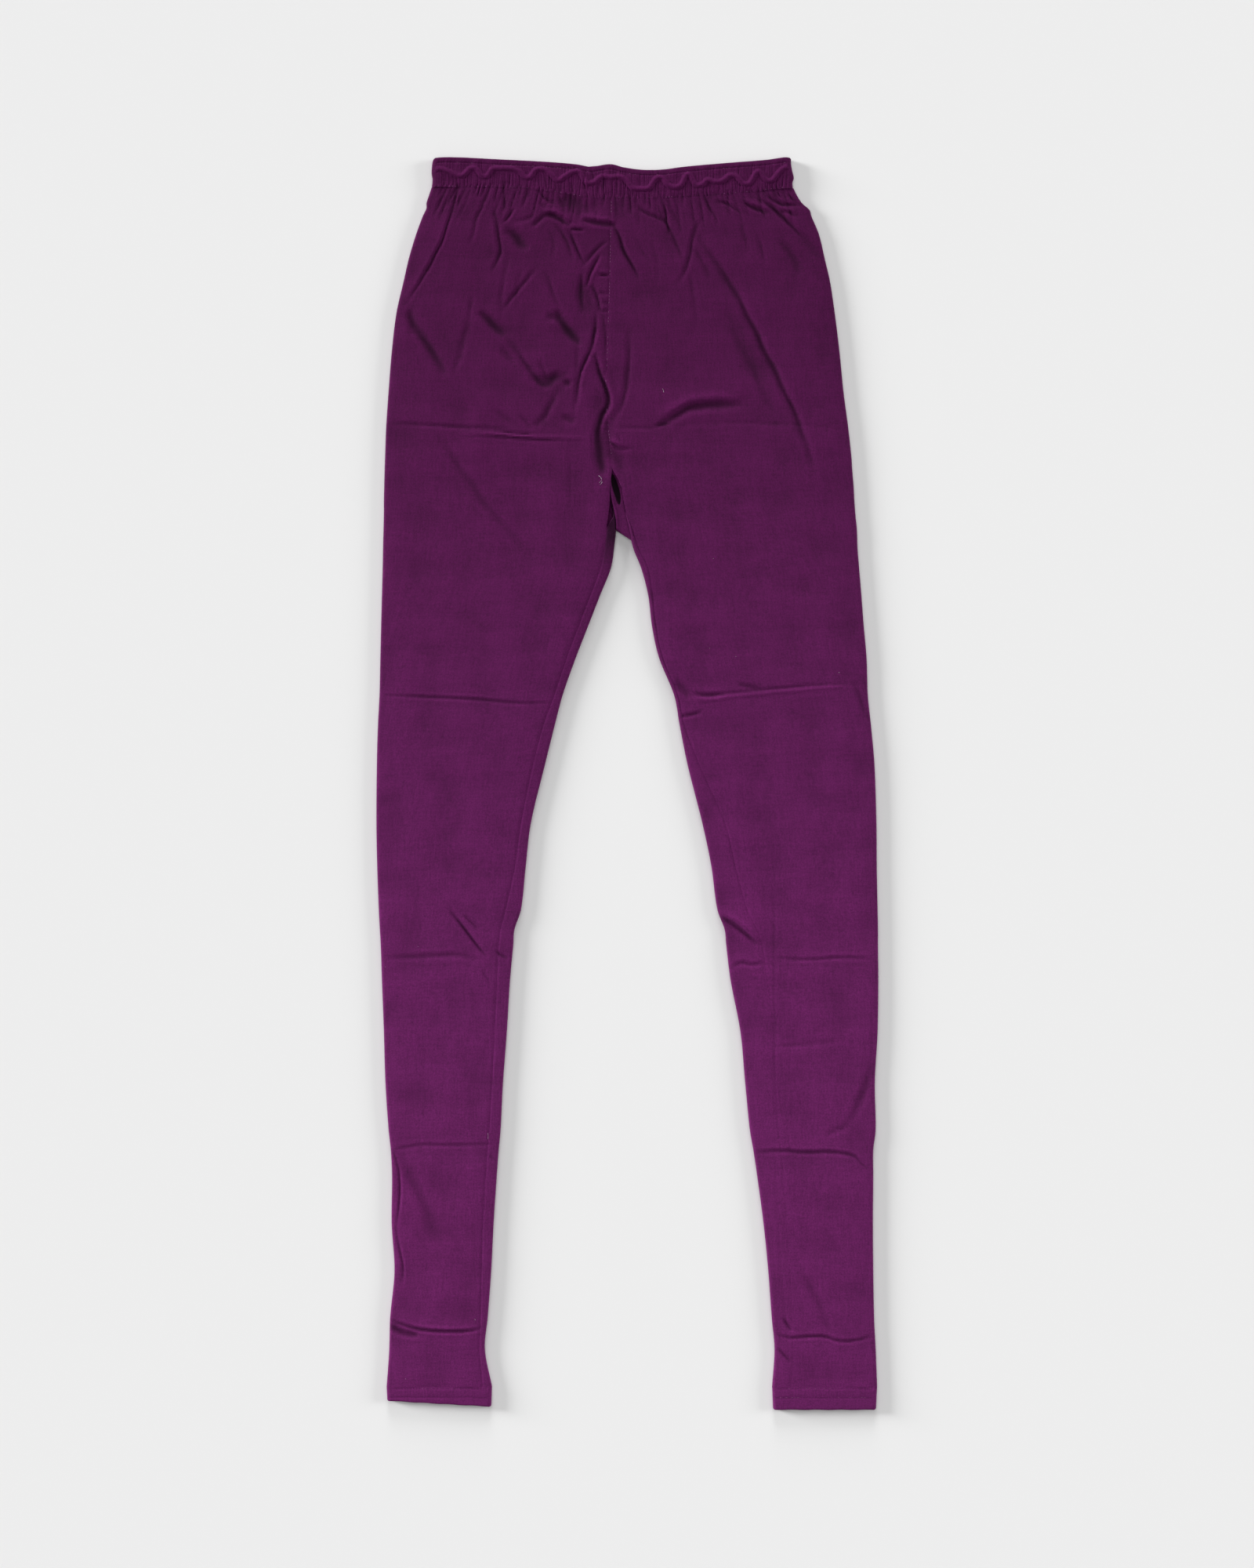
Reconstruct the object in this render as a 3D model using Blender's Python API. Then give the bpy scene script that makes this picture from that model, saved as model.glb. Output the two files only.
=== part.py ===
"""Churidar trousers in fine cotton jersey, laid flat with the front up.

Each leg is one cut panel wrapped round, so it has an inseam and no side seam.
The two meet along the centre front and centre back seams, with a small gusset
at the crotch. The turned-down waist casing holds flat elastic and a cord, and
each ankle ends in a turned-up hem.

The garment lies on the plane z = 0 with its waist towards +Y. Tables are in
millimetres: x is measured from the middle of the garment towards the wearer's
left, and down is measured from the highest point of the waist edge.
"""

from bisect import bisect_right
from collections import namedtuple
from math import cos, exp, hypot, pi, radians, sin

import bmesh
import bpy
from mathutils import Vector

MM = 0.001

# Cloth and seams
CLOTH = 1.2
CASING_WALL = 2.0
HEM_WALL = 1.6
SEAM_GAP = 0.3
PLAIN_INSIDE = 1.1
DEEPEST = 1.3

# Thickness of the flat garment: at a folded edge, and how much more between
FOLD_THICKNESS = 4.6
CASING_THICKNESS = 5.8
HEM_THICKNESS = 4.9
HEM_CROWN = 0.4
HEM_ROUNDING = 1.5
HEM_PINCH = 0.5
ROLL = 14.0

# Waist casing
CASING_END = 25.2
DIP_REACH = 70.0
RIB_PITCH = 2.0
RIB_RELIEF = 0.22
RIB_FADE = 6.0
CORD_WIDTH = 3.0
CORD_RELIEF = 0.9
STITCH_ABOVE_CORD = 2.2
TOP_FOLD = 1.6
TOP_PINCH = 0.6
BACK_EDGE_DROP = 0.8
UPPER_STITCH = 4.4
STITCH_GROOVE = 0.3

# Rows and columns of the leg panels
CROTCH = 257.4
GUSSET_END = 324.0
HEM_START = 1017.9
HIP_STEP = 9.0
LEG_STEP = 24.0
LEG_COLUMNS = 12
INSIDE_COLUMNS = 5
WAIST_INSIDE_COLUMNS = 14
WAIST_ZONE = 50.0
BACK_COLUMNS = 3
CASING_BACK_COLUMNS = 9
FOLD_STEPS = 4
INSIDE_FOLD_STEPS = 2
CREST_SHARE = 0.5
PRESS_LINE_REACH = 6.0
PRESS_LINE_CLEAR = 8.0

# Gusset
GUSSET_THICKNESS = 3.6
GUSSET_COLUMNS = 3

PLUM = (0.095, 0.011, 0.083, 1.0)
HEM_PLUM = (0.118, 0.016, 0.104, 1.0)
COTTON_ROUGHNESS = 0.92
SHARP_ANGLE = 50.0

# A leg panel at one height: the side fold, the front edge (centre front seam,
# then inseam), the back edge (centre back seam, then inner fold), and how far
# the back has turned up round the inner fold, from 0 to 1
LegRow = namedtuple("LegRow", "down outer seam inner wrap")

RIGHT_LEG = [LegRow(*row) for row in (
    (24.7, -161.8, -13.7, -13.7, 0.0),
    (37.7, -165.1, -13.7, -13.7, 0.0),
    (48.1, -169.0, -13.7, -13.7, 0.0),
    (63.7, -174.8, -14.3, -13.7, 0.0),
    (83.2, -180.7, -14.6, -13.7, 0.0),
    (102.7, -185.2, -15.0, -13.7, 0.0),
    (128.7, -191.1, -15.9, -13.7, 0.0),
    (161.2, -195.0, -16.9, -13.7, 0.0),
    (193.7, -197.6, -18.2, -13.7, 0.0),
    (223.0, -199.6, -16.2, -13.7, 0.0),
    (248.0, -200.5, -13.4, -13.3, 0.0),
    (257.4, -200.8, -12.4, -13.0, 0.0),
    (271.7, -201.2, -14.0, -12.3, 0.0),
    (284.7, -201.5, -14.3, -11.4, 0.35),
    (294.4, -201.5, -15.3, -10.1, 0.7),
    (307.4, -201.8, -16.9, -9.1, 1.0),
    (323.7, -202.2, -18.9, -10.7, 1.0),
    (339.9, -202.5, -22.1, -13.3, 1.0),
    (362.7, -203.1, -30.6, -22.4, 1.0),
    (388.7, -203.8, -40.6, -32.5, 1.0),
    (414.7, -204.4, -50.4, -42.6, 1.0),
    (445.2, -205.1, -60.5, -53.3, 1.0),
    (469.9, -206.4, -69.5, -59.8, 1.0),
    (502.5, -207.3, -78.0, -67.9, 1.0),
    (551.2, -207.7, -88.1, -79.6, 1.0),
    (587.0, -207.0, -93.0, -83.9, 1.0),
    (622.7, -205.7, -100.8, -87.8, 1.0),
    (639.6, -204.8, -105.0, -93.3, 1.0),
    (652.0, -204.1, -106.6, -94.2, 1.0),
    (681.2, -203.1, -107.9, -96.9, 1.0),
    (723.5, -201.5, -109.9, -99.5, 1.0),
    (765.7, -200.2, -111.8, -102.7, 1.0),
    (804.7, -197.6, -114.4, -104.7, 1.0),
    (822.2, -195.7, -115.7, -106.3, 1.0),
    (843.7, -194.7, -117.3, -107.9, 1.0),
    (882.7, -195.0, -119.6, -110.5, 1.0),
    (921.7, -192.7, -120.6, -112.5, 1.0),
    (960.7, -196.3, -121.5, -115.4, 1.0),
    (986.7, -197.0, -122.5, -117.7, 1.0),
    (1017.9, -199.2, -119.6, -111.8, 1.0),
)]

LEFT_LEG = [LegRow(*row) for row in (
    (24.7, 137.8, -13.7, -13.7, 0.0),
    (37.7, 145.0, -13.7, -13.7, 0.0),
    (48.1, 152.8, -13.7, -13.7, 0.0),
    (63.7, 159.2, -14.3, -13.7, 0.0),
    (83.2, 163.8, -14.6, -13.7, 0.0),
    (102.7, 168.3, -15.0, -13.7, 0.0),
    (128.7, 172.2, -15.9, -13.7, 0.0),
    (161.2, 176.2, -16.9, -13.7, 0.0),
    (193.7, 179.4, -18.2, -13.7, 0.0),
    (223.0, 183.3, -16.2, -13.7, 0.0),
    (248.0, 186.0, -13.4, -13.3, 0.0),
    (257.4, 186.6, -12.4, -13.0, 0.0),
    (271.7, 187.8, -4.9, -9.8, 0.0),
    (284.7, 188.5, -2.9, -4.9, 0.0),
    (294.4, 189.2, -0.3, -2.0, 0.35),
    (307.4, 190.5, 5.2, 1.6, 0.7),
    (323.7, 191.1, 10.1, 5.2, 1.0),
    (339.9, 192.4, 17.6, 11.7, 1.0),
    (362.7, 194.3, 21.1, 17.6, 1.0),
    (388.7, 196.3, 24.1, 20.8, 1.0),
    (414.7, 198.6, 29.9, 26.7, 1.0),
    (445.2, 199.6, 42.2, 39.0, 1.0),
    (469.9, 202.2, 47.5, 43.6, 1.0),
    (502.5, 205.1, 59.8, 50.1, 1.0),
    (551.2, 206.7, 81.2, 62.4, 1.0),
    (587.0, 207.0, 89.7, 69.9, 1.0),
    (622.7, 207.7, 99.5, 74.8, 1.0),
    (639.6, 208.0, 107.2, 80.9, 1.0),
    (652.0, 208.0, 111.8, 82.2, 1.0),
    (681.2, 208.3, 116.4, 85.8, 1.0),
    (723.5, 207.7, 121.5, 93.9, 1.0),
    (765.7, 205.4, 123.2, 97.8, 1.0),
    (804.7, 206.1, 125.5, 101.7, 1.0),
    (822.2, 204.1, 127.4, 104.7, 1.0),
    (843.7, 204.1, 130.0, 107.9, 1.0),
    (882.7, 203.8, 132.6, 113.1, 1.0),
    (921.7, 204.1, 135.2, 117.0, 1.0),
    (960.7, 204.8, 136.8, 119.9, 1.0),
    (986.7, 206.1, 137.8, 122.2, 1.0),
    (1017.9, 207.3, 135.8, 120.2, 1.0),
)]

# How far the cloth stands above its folded edges, down the garment
CrownRow = namedtuple("CrownRow", "down crown")

CROWN = [CrownRow(*row) for row in (
    (24.7, 1.1),
    (80.0, 1.7),
    (240.0, 1.4),
    (290.0, 0.9),
    (420.0, 1.4),
    (700.0, 1.1),
    (960.0, 0.9),
    (1017.9, 0.4),
)]

# Upper and lower edge of the waist casing, across the garment
EdgeRow = namedtuple("EdgeRow", "x down")

WAIST_TOP = [EdgeRow(*row) for row in (
    (-161.8, 2.6),
    (-158.6, 0.5),
    (-142.4, 0.0),
    (-108.6, 1.6),
    (-64.4, 3.9),
    (-41.6, 5.9),
    (-29.9, 7.8),
    (-13.7, 5.7),
    (-2.0, 8.5),
    (13.7, 10.4),
    (29.9, 10.1),
    (47.5, 7.8),
    (83.9, 4.6),
    (116.4, 2.0),
    (130.7, 0.0),
    (135.0, 0.5),
    (137.8, 2.6),
)]

WAIST_BOTTOM = [EdgeRow(*row) for row in (
    (-161.8, 24.7),
    (-100.1, 25.4),
    (-79.3, 26.7),
    (-50.7, 30.6),
    (-28.6, 34.2),
    (-9.8, 34.0),
    (19.5, 34.4),
    (45.5, 33.2),
    (76.7, 31.2),
    (101.4, 29.3),
    (120.9, 26.7),
    (137.8, 25.5),
)]

# Crests and dips of the cord that shows through the casing's front
CORD = [EdgeRow(*row) for row in (
    (-161.8, 12.0),
    (-147.6, 7.4),
    (-136.5, 14.3),
    (-126.1, 8.0),
    (-118.3, 15.6),
    (-108.6, 8.6),
    (-93.6, 8.7),
    (-82.6, 15.6),
    (-72.2, 10.6),
    (-55.9, 19.2),
    (-41.6, 13.2),
    (-27.0, 15.2),
    (-7.8, 16.3),
    (8.5, 25.4),
    (26.7, 17.0),
    (41.0, 24.1),
    (50.7, 15.0),
    (60.5, 22.8),
    (67.6, 18.2),
    (75.4, 20.2),
    (86.5, 13.0),
    (98.8, 21.0),
    (109.9, 11.7),
    (117.7, 18.9),
    (127.4, 8.4),
    (137.8, 8.0),
)]

# Gathers below the casing: share of the way from the centre seam to the side
# fold, how far down each reaches, and its depth
Gather = namedtuple("Gather", "place reach depth")

RIGHT_GATHERS = [Gather(*row) for row in (
    (0.07, 26.0, 0.5),
    (0.14, 40.0, 0.8),
    (0.21, 34.0, 1.0),
    (0.28, 48.0, 0.8),
    (0.35, 22.0, 0.6),
    (0.43, 30.0, 0.7),
    (0.51, 38.0, 0.9),
    (0.58, 24.0, 0.6),
    (0.65, 44.0, 0.8),
    (0.72, 28.0, 0.5),
    (0.80, 36.0, 0.5),
    (0.88, 60.0, 0.9),
    (0.95, 24.0, 0.4),
)]

LEFT_GATHERS = [Gather(*row) for row in (
    (0.06, 24.0, 0.4),
    (0.13, 38.0, 0.6),
    (0.20, 26.0, 0.5),
    (0.27, 46.0, 0.8),
    (0.34, 60.0, 0.9),
    (0.41, 30.0, 0.6),
    (0.49, 34.0, 0.7),
    (0.56, 26.0, 0.6),
    (0.64, 32.0, 0.8),
    (0.72, 30.0, 0.9),
    (0.80, 36.0, 1.0),
    (0.88, 32.0, 0.9),
    (0.95, 22.0, 0.5),
)]

# Creases and rolls of the front: a trough runs from its start to its end, and
# a negative depth is a ridge
Fold = namedtuple("Fold", "start_x start_down end_x end_down width depth")

FOLDS = [Fold(*row) for row in (
    (-141.7, 28.0, -158.0, 80.6, 5.0, 0.9),
    (-158.0, 80.6, -184.0, 124.2, 5.0, 0.9),
    (-182.7, 126.8, -148.9, 180.7, 9.0, 1.2),
    (-67.6, 46.8, -35.8, 61.1, 5.0, 1.1),
    (-38.4, 50.7, -10.4, 57.2, 5.0, 1.2),
    (-10.4, 57.2, 9.8, 99.5, 5.0, 1.1),
    (-75.4, 93.6, -104.0, 128.0, 7.0, 0.8),
    (-57.2, 128.0, -37.7, 156.0, 6.5, 1.2),
    (-26.0, 146.9, -41.6, 206.0, 6.5, 0.7),
    (-26.0, 165.0, -15.6, 206.0, 6.0, 1.1),
    (-100.8, 167.7, -70.2, 189.2, 7.0, 0.7),
    (-15.6, 206.0, -24.7, 235.3, 6.0, 1.1),
    (-154.7, 231.4, -81.3, 327.0, 8.0, 0.6),
    (-145.0, 624.7, -116.4, 661.7, 7.5, 1.1),
    (-194.4, 822.3, -187.9, 882.7, 6.0, 0.7),
    (-186.6, 828.0, -158.6, 895.0, 7.0, 0.6),
    (-195.7, 961.4, -121.6, 969.8, 5.0, 1.2),
    (24.7, 37.0, 48.8, 91.7, 5.5, 0.8),
    (61.1, 52.0, 42.3, 105.3, 5.5, 0.7),
    (98.2, 38.4, 145.6, 65.7, 5.5, 1.1),
    (59.8, 65.7, 109.2, 148.2, 6.0, 1.2),
    (109.2, 148.2, 157.3, 267.8, 6.0, 1.2),
    (27.3, 222.3, 52.7, 206.0, 6.5, 1.2),
    (52.7, 206.0, 93.6, 204.8, 6.5, 1.2),
    (41.0, 435.5, 61.0, 460.9, 7.0, 0.9),
    (76.7, 628.6, 107.9, 650.7, 7.0, 1.3),
    (202.8, 752.7, 184.6, 799.5, 7.0, 0.7),
    (182.7, 800.8, 165.0, 808.6, 6.0, 0.6),
    (122.9, 971.8, 150.8, 977.6, 5.0, 1.1),
    (150.8, 977.6, 204.0, 975.0, 5.0, 0.9),
    (137.0, 914.0, 169.7, 966.0, 7.5, -0.6),
)]

# Cloth pushed up beside a trough: its share of the depth, and how many widths out
SHOULDER = 0.35
SHOULDER_PLACE = 1.9

# Pressed lines left by folding for the packet, across both legs
PRESS_LINES = (223.0, 446.0, 663.0, 822.0, 970.0)
PRESS_WIDTH = 3.5
PRESS_DEPTH = 0.5

# Bottom edge of each hem, and its side edges there
HemEdge = namedtuple("HemEdge", "outer inner down_outer down_inner")

RIGHT_HEM = HemEdge(-198.6, -112.4, 1029.4, 1034.2)
LEFT_HEM = HemEdge(206.3, 121.0, 1036.8, 1036.8)

# The gusset's front ply, from its point to the fold, then its back ply
GussetRow = namedtuple("GussetRow", "down left right")

GUSSET_FRONT = [GussetRow(*row) for row in (
    (258.4, -12.4, -12.0),
    (271.7, -13.8, -5.1),
    (284.7, -12.4, -3.1),
    (294.4, -9.7, -1.6),
    (307.4, -8.7, 1.2),
)]
GUSSET_BACK = [GussetRow(*row) for row in (
    (307.4, -8.7, 1.2),
    (294.4, -9.7, -2.4),
    (284.7, -11.3, -5.1),
    (273.0, -12.0, -9.5),
    (262.0, -12.6, -12.1),
)]
GUSSET_FOLD_LEFT = -9.0
GUSSET_FOLD_RIGHT = 3.5
GUSSET_FOLD_DOWN = 310.3
GUSSET_SLANT = 8.2

# Where each stretch of a leg's section lies along its length, from 0 to 1
FRONT_END = 0.4
SIDE_END = 0.5
BACK_END = 0.85
INNER_END = 0.95

Row = namedtuple("Row", "outside inside")


def read_table(rows, place, column, key=0):
    """Reads a column of a table at any place, on a smooth curve."""
    places = [row[key] for row in rows]
    if place <= places[0]:
        return rows[0][column]
    if place >= places[-1]:
        return rows[-1][column]
    index = bisect_right(places, place) - 1
    before = max(index - 1, 0)
    after = min(index + 2, len(rows) - 1)
    here, there = rows[index], rows[index + 1]
    span = there[key] - here[key]
    share = (place - here[key]) / span
    slope_here = (there[column] - rows[before][column]) / (there[key] - rows[before][key])
    slope_there = (rows[after][column] - here[column]) / (rows[after][key] - here[key])
    square, cube = share * share, share ** 3
    return (
        here[column] * (2 * cube - 3 * square + 1)
        + there[column] * (3 * square - 2 * cube)
        + span * slope_here * (cube - 2 * square + share)
        + span * slope_there * (cube - square)
    )


def leg_row(rows, down):
    """The leg's section at any height."""
    columns = range(1, len(LegRow._fields))
    values = [read_table(rows, down, column) for column in columns]
    row = LegRow(down, *values)
    return row._replace(wrap=min(max(row.wrap, 0.0), 1.0))


def distance_to(fold, x, down):
    """Distance from a point of the front to a fold's line."""
    run_x = fold.end_x - fold.start_x
    run_down = fold.end_down - fold.start_down
    length = hypot(run_x, run_down)
    along = ((x - fold.start_x) * run_x + (down - fold.start_down) * run_down) / length ** 2
    along = min(max(along, 0.0), 1.0)
    return hypot(x - fold.start_x - along * run_x, down - fold.start_down - along * run_down)


def fold_relief(x, down):
    """Height that the folds and the pressed lines add to the front."""
    relief = 0.0
    for fold in FOLDS:
        away = distance_to(fold, x, down) / fold.width
        shoulder = SHOULDER * exp(-(away - SHOULDER_PLACE) ** 2)
        relief -= fold.depth * (exp(-away * away) - shoulder)
    for line in PRESS_LINES:
        away = (down - line) / PRESS_WIDTH
        relief -= PRESS_DEPTH * exp(-away * away)
    return relief


def gather_relief(gathers, column, down, top):
    """Height that the gathers add at one column: troughs, with crests between."""
    trough = column % 2 == 1
    gather = gathers[min(column // 2, len(gathers) - 1)]
    share = 1.0 if trough else -CREST_SHARE
    return -share * gather.depth * exp(-((down - top) / gather.reach) ** 2)


def crown_height(down, from_outer, from_inner, wrap):
    """Plain height of the front above the surface that it lies on."""
    crown = read_table(CROWN, down, 1)
    outer_rise = 1.0 - exp(-max(from_outer, 0.0) / ROLL)
    inner_rise = 1.0 - exp(-max(from_inner, 0.0) / ROLL)
    return FOLD_THICKNESS + crown * outer_rise * (1.0 - wrap * (1.0 - inner_rise))


def back_casing_edge(rows, x):
    """Sewn edge of the casing on the back, straight from side to centre."""
    side, centre = rows[0].outer, rows[0].seam
    side_down = read_table(WAIST_BOTTOM, side, 1)
    centre_down = read_table(WAIST_BOTTOM, centre, 1)
    return side_down + (centre_down - side_down) * (x - side) / (centre - side)


def waist_dip(edge_down, down):
    """How much lower than a level line a row near the waist lies."""
    fade = min(1.0, 1.0 - (down - CASING_END - SEAM_GAP) / DIP_REACH)
    return (edge_down - CASING_END) * max(fade, 0.0)


def add_turn(line, point, centre, height, reach, angles, places, steps):
    """Adds an arc of points round a fold, between two angles in degrees."""
    for step in range(1, steps + 1):
        share = step / steps
        angle = radians(angles[0] + (angles[1] - angles[0]) * share)
        place = places[0] + (places[1] - places[0]) * share
        line.append((place, point(centre + reach * cos(angle), height + reach * sin(angle))))


def gathered_columns(gathers):
    """Places of the front's columns: each gather's trough, and between them."""
    troughs = [gather.place for gather in gathers]
    crests = [(left + right) / 2 for left, right in zip(troughs, troughs[1:])]
    return [0.0] + sorted(troughs + crests) + [1.0]


def leg_section(rows, gathers, down, top):
    """Outer and inner line of a leg's wall at one height."""
    row = leg_row(rows, down)
    inward = 1.0 if row.inner > row.outer else -1.0
    width = abs(row.inner - row.outer)
    seam = abs(row.seam - row.outer) - SEAM_GAP / 2
    radius = FOLD_THICKNESS / 2
    hip = down <= CROTCH
    inside_columns = WAIST_INSIDE_COLUMNS if down < WAIST_ZONE else INSIDE_COLUMNS

    def place_point(across, height, edge):
        x = row.outer + inward * across
        return Vector((x, -(down + waist_dip(edge(x), down)), height)) * MM

    def point(across, height):
        return place_point(across, height, lambda x: read_table(WAIST_BOTTOM, x, 1))

    def back_point(across, height):
        return place_point(across, height, lambda x: back_casing_edge(rows, x))

    def plain(across):
        return crown_height(down, across - radius, width - radius - across, row.wrap)

    if hip:
        places = gathered_columns(gathers)
    else:
        places = [0.5 - 0.5 * cos(pi * index / LEG_COLUMNS) for index in range(LEG_COLUMNS + 1)]

    outside = []
    for index, place in enumerate(places):
        across = seam + (radius - seam) * place
        relief = fold_relief(row.outer + inward * across, down)
        if hip:
            relief += gather_relief(gathers, index, down, top)
        relief *= min(1.0, (1.0 - place) * width / ROLL)
        outside.append((FRONT_END * place, point(across, plain(across) + max(relief, -DEEPEST))))
    inside = []
    for index in range(inside_columns):
        place = index / inside_columns
        across = seam + (radius - seam) * place
        under = plain(across) - CLOTH - PLAIN_INSIDE
        inside.append((FRONT_END * place, point(across, under)))
    inside.append((FRONT_END, point(radius, FOLD_THICKNESS - CLOTH)))

    side = (FRONT_END, SIDE_END)
    add_turn(outside, point, radius, radius, radius, (90, 270), side, FOLD_STEPS)
    add_turn(inside, point, radius, radius, radius - CLOTH, (90, 270), side, INSIDE_FOLD_STEPS)

    back_edge = width - (radius if row.wrap > 0.0 else SEAM_GAP / 2)
    for step in range(1, BACK_COLUMNS + 1):
        share = step / BACK_COLUMNS
        across = radius + (back_edge - radius) * share
        place = SIDE_END + (BACK_END - SIDE_END) * share
        outside.append((place, back_point(across, 0.0)))
        inside.append((place, back_point(across, CLOTH)))

    if row.wrap > 0.0:
        angles = (-90, -90 + 180 * row.wrap)
        turned = (BACK_END, BACK_END + (INNER_END - BACK_END) * row.wrap)
        steps = max(1, round(FOLD_STEPS * row.wrap))
        inside_steps = max(1, round(INSIDE_FOLD_STEPS * row.wrap))
        add_turn(outside, point, back_edge, radius, radius, angles, turned, steps)
        add_turn(inside, point, back_edge, radius, radius - CLOTH, angles, turned, inside_steps)
    if row.wrap >= 1.0:
        across = seam + SEAM_GAP
        height = plain(across)
        outside.append((1.0, point(across, height + fold_relief(row.seam, down))))
        inside.append((1.0, point(across, height - CLOTH - PLAIN_INSIDE)))
    return Row(outside, inside)


def leg_stations():
    """Heights of a leg's rows: even steps, with more at each pressed line."""
    top = CASING_END + SEAM_GAP
    hip_count = round((CROTCH - top) / HIP_STEP)
    stations = [top + (CROTCH - top) * step / hip_count for step in range(hip_count + 1)]
    stations += [row.down for row in RIGHT_LEG if CROTCH < row.down < GUSSET_END]
    below = stations[-1]
    end = HEM_START - SEAM_GAP
    leg_count = round((end - below) / LEG_STEP)
    even = [below + (end - below) * step / leg_count for step in range(1, leg_count)]
    pressed = []
    for line in PRESS_LINES[1:]:
        pressed += [line - PRESS_LINE_REACH, line, line + PRESS_LINE_REACH]
    clear = [down for down in even if min(abs(down - line) for line in pressed) > PRESS_LINE_CLEAR]
    return stations + sorted(clear + pressed) + [end]


def casing_section(rows, level):
    """One row of the casing, whose place down the garment varies across it."""
    outer = rows[0].outer
    centre = rows[0].seam
    inward = 1.0 if centre > outer else -1.0
    width = abs(centre - outer) - SEAM_GAP / 2
    radius = CASING_THICKNESS / 2
    ribs = round((width - radius) / RIB_PITCH)
    pinch = level.pinch

    def point(across, down, height):
        return Vector((outer + inward * across, -down, height)) * MM

    outside = []
    for index in range(2 * ribs + 1):
        place = index / (2 * ribs)
        across = width + (radius - width) * place
        x = outer + inward * across
        rib = RIB_RELIEF * (1 if index % 2 else -1) * min(1.0, RIB_FADE * (1.0 - place))
        height = CASING_THICKNESS + level.relief + rib - pinch
        outside.append((FRONT_END * place, point(across, level.front(x), height)))
    inside = []
    for index in range(WAIST_INSIDE_COLUMNS + 1):
        place = index / WAIST_INSIDE_COLUMNS
        across = width + (radius - width) * place
        x = outer + inward * across
        height = CASING_THICKNESS - CASING_WALL + pinch
        inside.append((FRONT_END * place, point(across, level.inside(x), height)))

    def turned_point(across, height):
        turned = 1.0 - height / CASING_THICKNESS
        x = outer + inward * across
        return point(across, level.front(x) * (1.0 - turned) + level.back(x) * turned, height)

    side = (FRONT_END, SIDE_END)
    wall = CASING_WALL - pinch
    add_turn(outside, turned_point, radius, radius, radius, (90, 270), side, FOLD_STEPS)
    add_turn(inside, turned_point, radius, radius, radius - wall, (90, 270), side, FOLD_STEPS)

    for step in range(1, CASING_BACK_COLUMNS + 1):
        share = step / CASING_BACK_COLUMNS
        across = radius + (width - radius) * share
        x = outer + inward * across
        place = SIDE_END + (1.0 - SIDE_END) * share
        outside.append((place, point(across, level.back(x), 0.0)))
        inside.append((place, point(across, level.back(x), CASING_WALL - pinch)))
    return Row(outside, inside)


def bridge(mesh, first, second):
    """Fills between two lines of points whose places along them differ."""
    here = there = 0
    while here < len(first) - 1 or there < len(second) - 1:
        ended = there == len(second) - 1
        if ended or (here < len(first) - 1 and first[here + 1][0] <= second[there + 1][0]):
            mesh.faces.new((first[here][1], first[here + 1][1], second[there][1]))
            here += 1
        else:
            mesh.faces.new((first[here][1], second[there + 1][1], second[there][1]))
            there += 1


def loft_wall(name, rows, colour, collection, closed=False):
    """One closed body through rows that each have an outer and an inner line."""
    mesh = bmesh.new()
    lines = []
    for row in rows:
        pair = []
        for line in row:
            points = [(place, mesh.verts.new(point)) for place, point in line]
            if closed:
                points.append((1.0, points[0][1]))
            pair.append(points)
        lines.append(pair)
    for above, below in zip(lines, lines[1:]):
        for upper, lower in zip(above, below):
            bridge(mesh, upper, lower)
        if not closed:
            for end in (0, -1):
                ring = (above[0][end][1], below[0][end][1], below[1][end][1], above[1][end][1])
                mesh.faces.new(ring)
    for outside, inside in (lines[0], lines[-1]):
        bridge(mesh, outside, inside)
    bmesh.ops.triangulate(mesh, faces=mesh.faces[:])
    bmesh.ops.recalc_face_normals(mesh, faces=mesh.faces[:])
    data = bpy.data.meshes.new(name)
    mesh.to_mesh(data)
    mesh.free()
    data.shade_smooth()
    data.set_sharp_from_angle(angle=radians(SHARP_ANGLE))
    data.materials.append(cotton(name, colour))
    solid = bpy.data.objects.new(name, data)
    collection.objects.link(solid)
    return solid


def cotton(name, colour):
    """Matt dyed cotton jersey."""
    material = bpy.data.materials.new(name + "_cotton")
    material.use_nodes = True
    shader = material.node_tree.nodes["Principled BSDF"]
    shader.inputs["Base Color"].default_value = colour
    shader.inputs["Roughness"].default_value = COTTON_ROUGHNESS
    shader.inputs["Metallic"].default_value = 0.0
    return material


def build_leg(name, rows, gathers, collection):
    stations = leg_stations()
    sections = [leg_section(rows, gathers, down, stations[0]) for down in stations]
    return loft_wall(name, sections, PLUM, collection)


CasingLevel = namedtuple("CasingLevel", "front inside back relief pinch")


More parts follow.
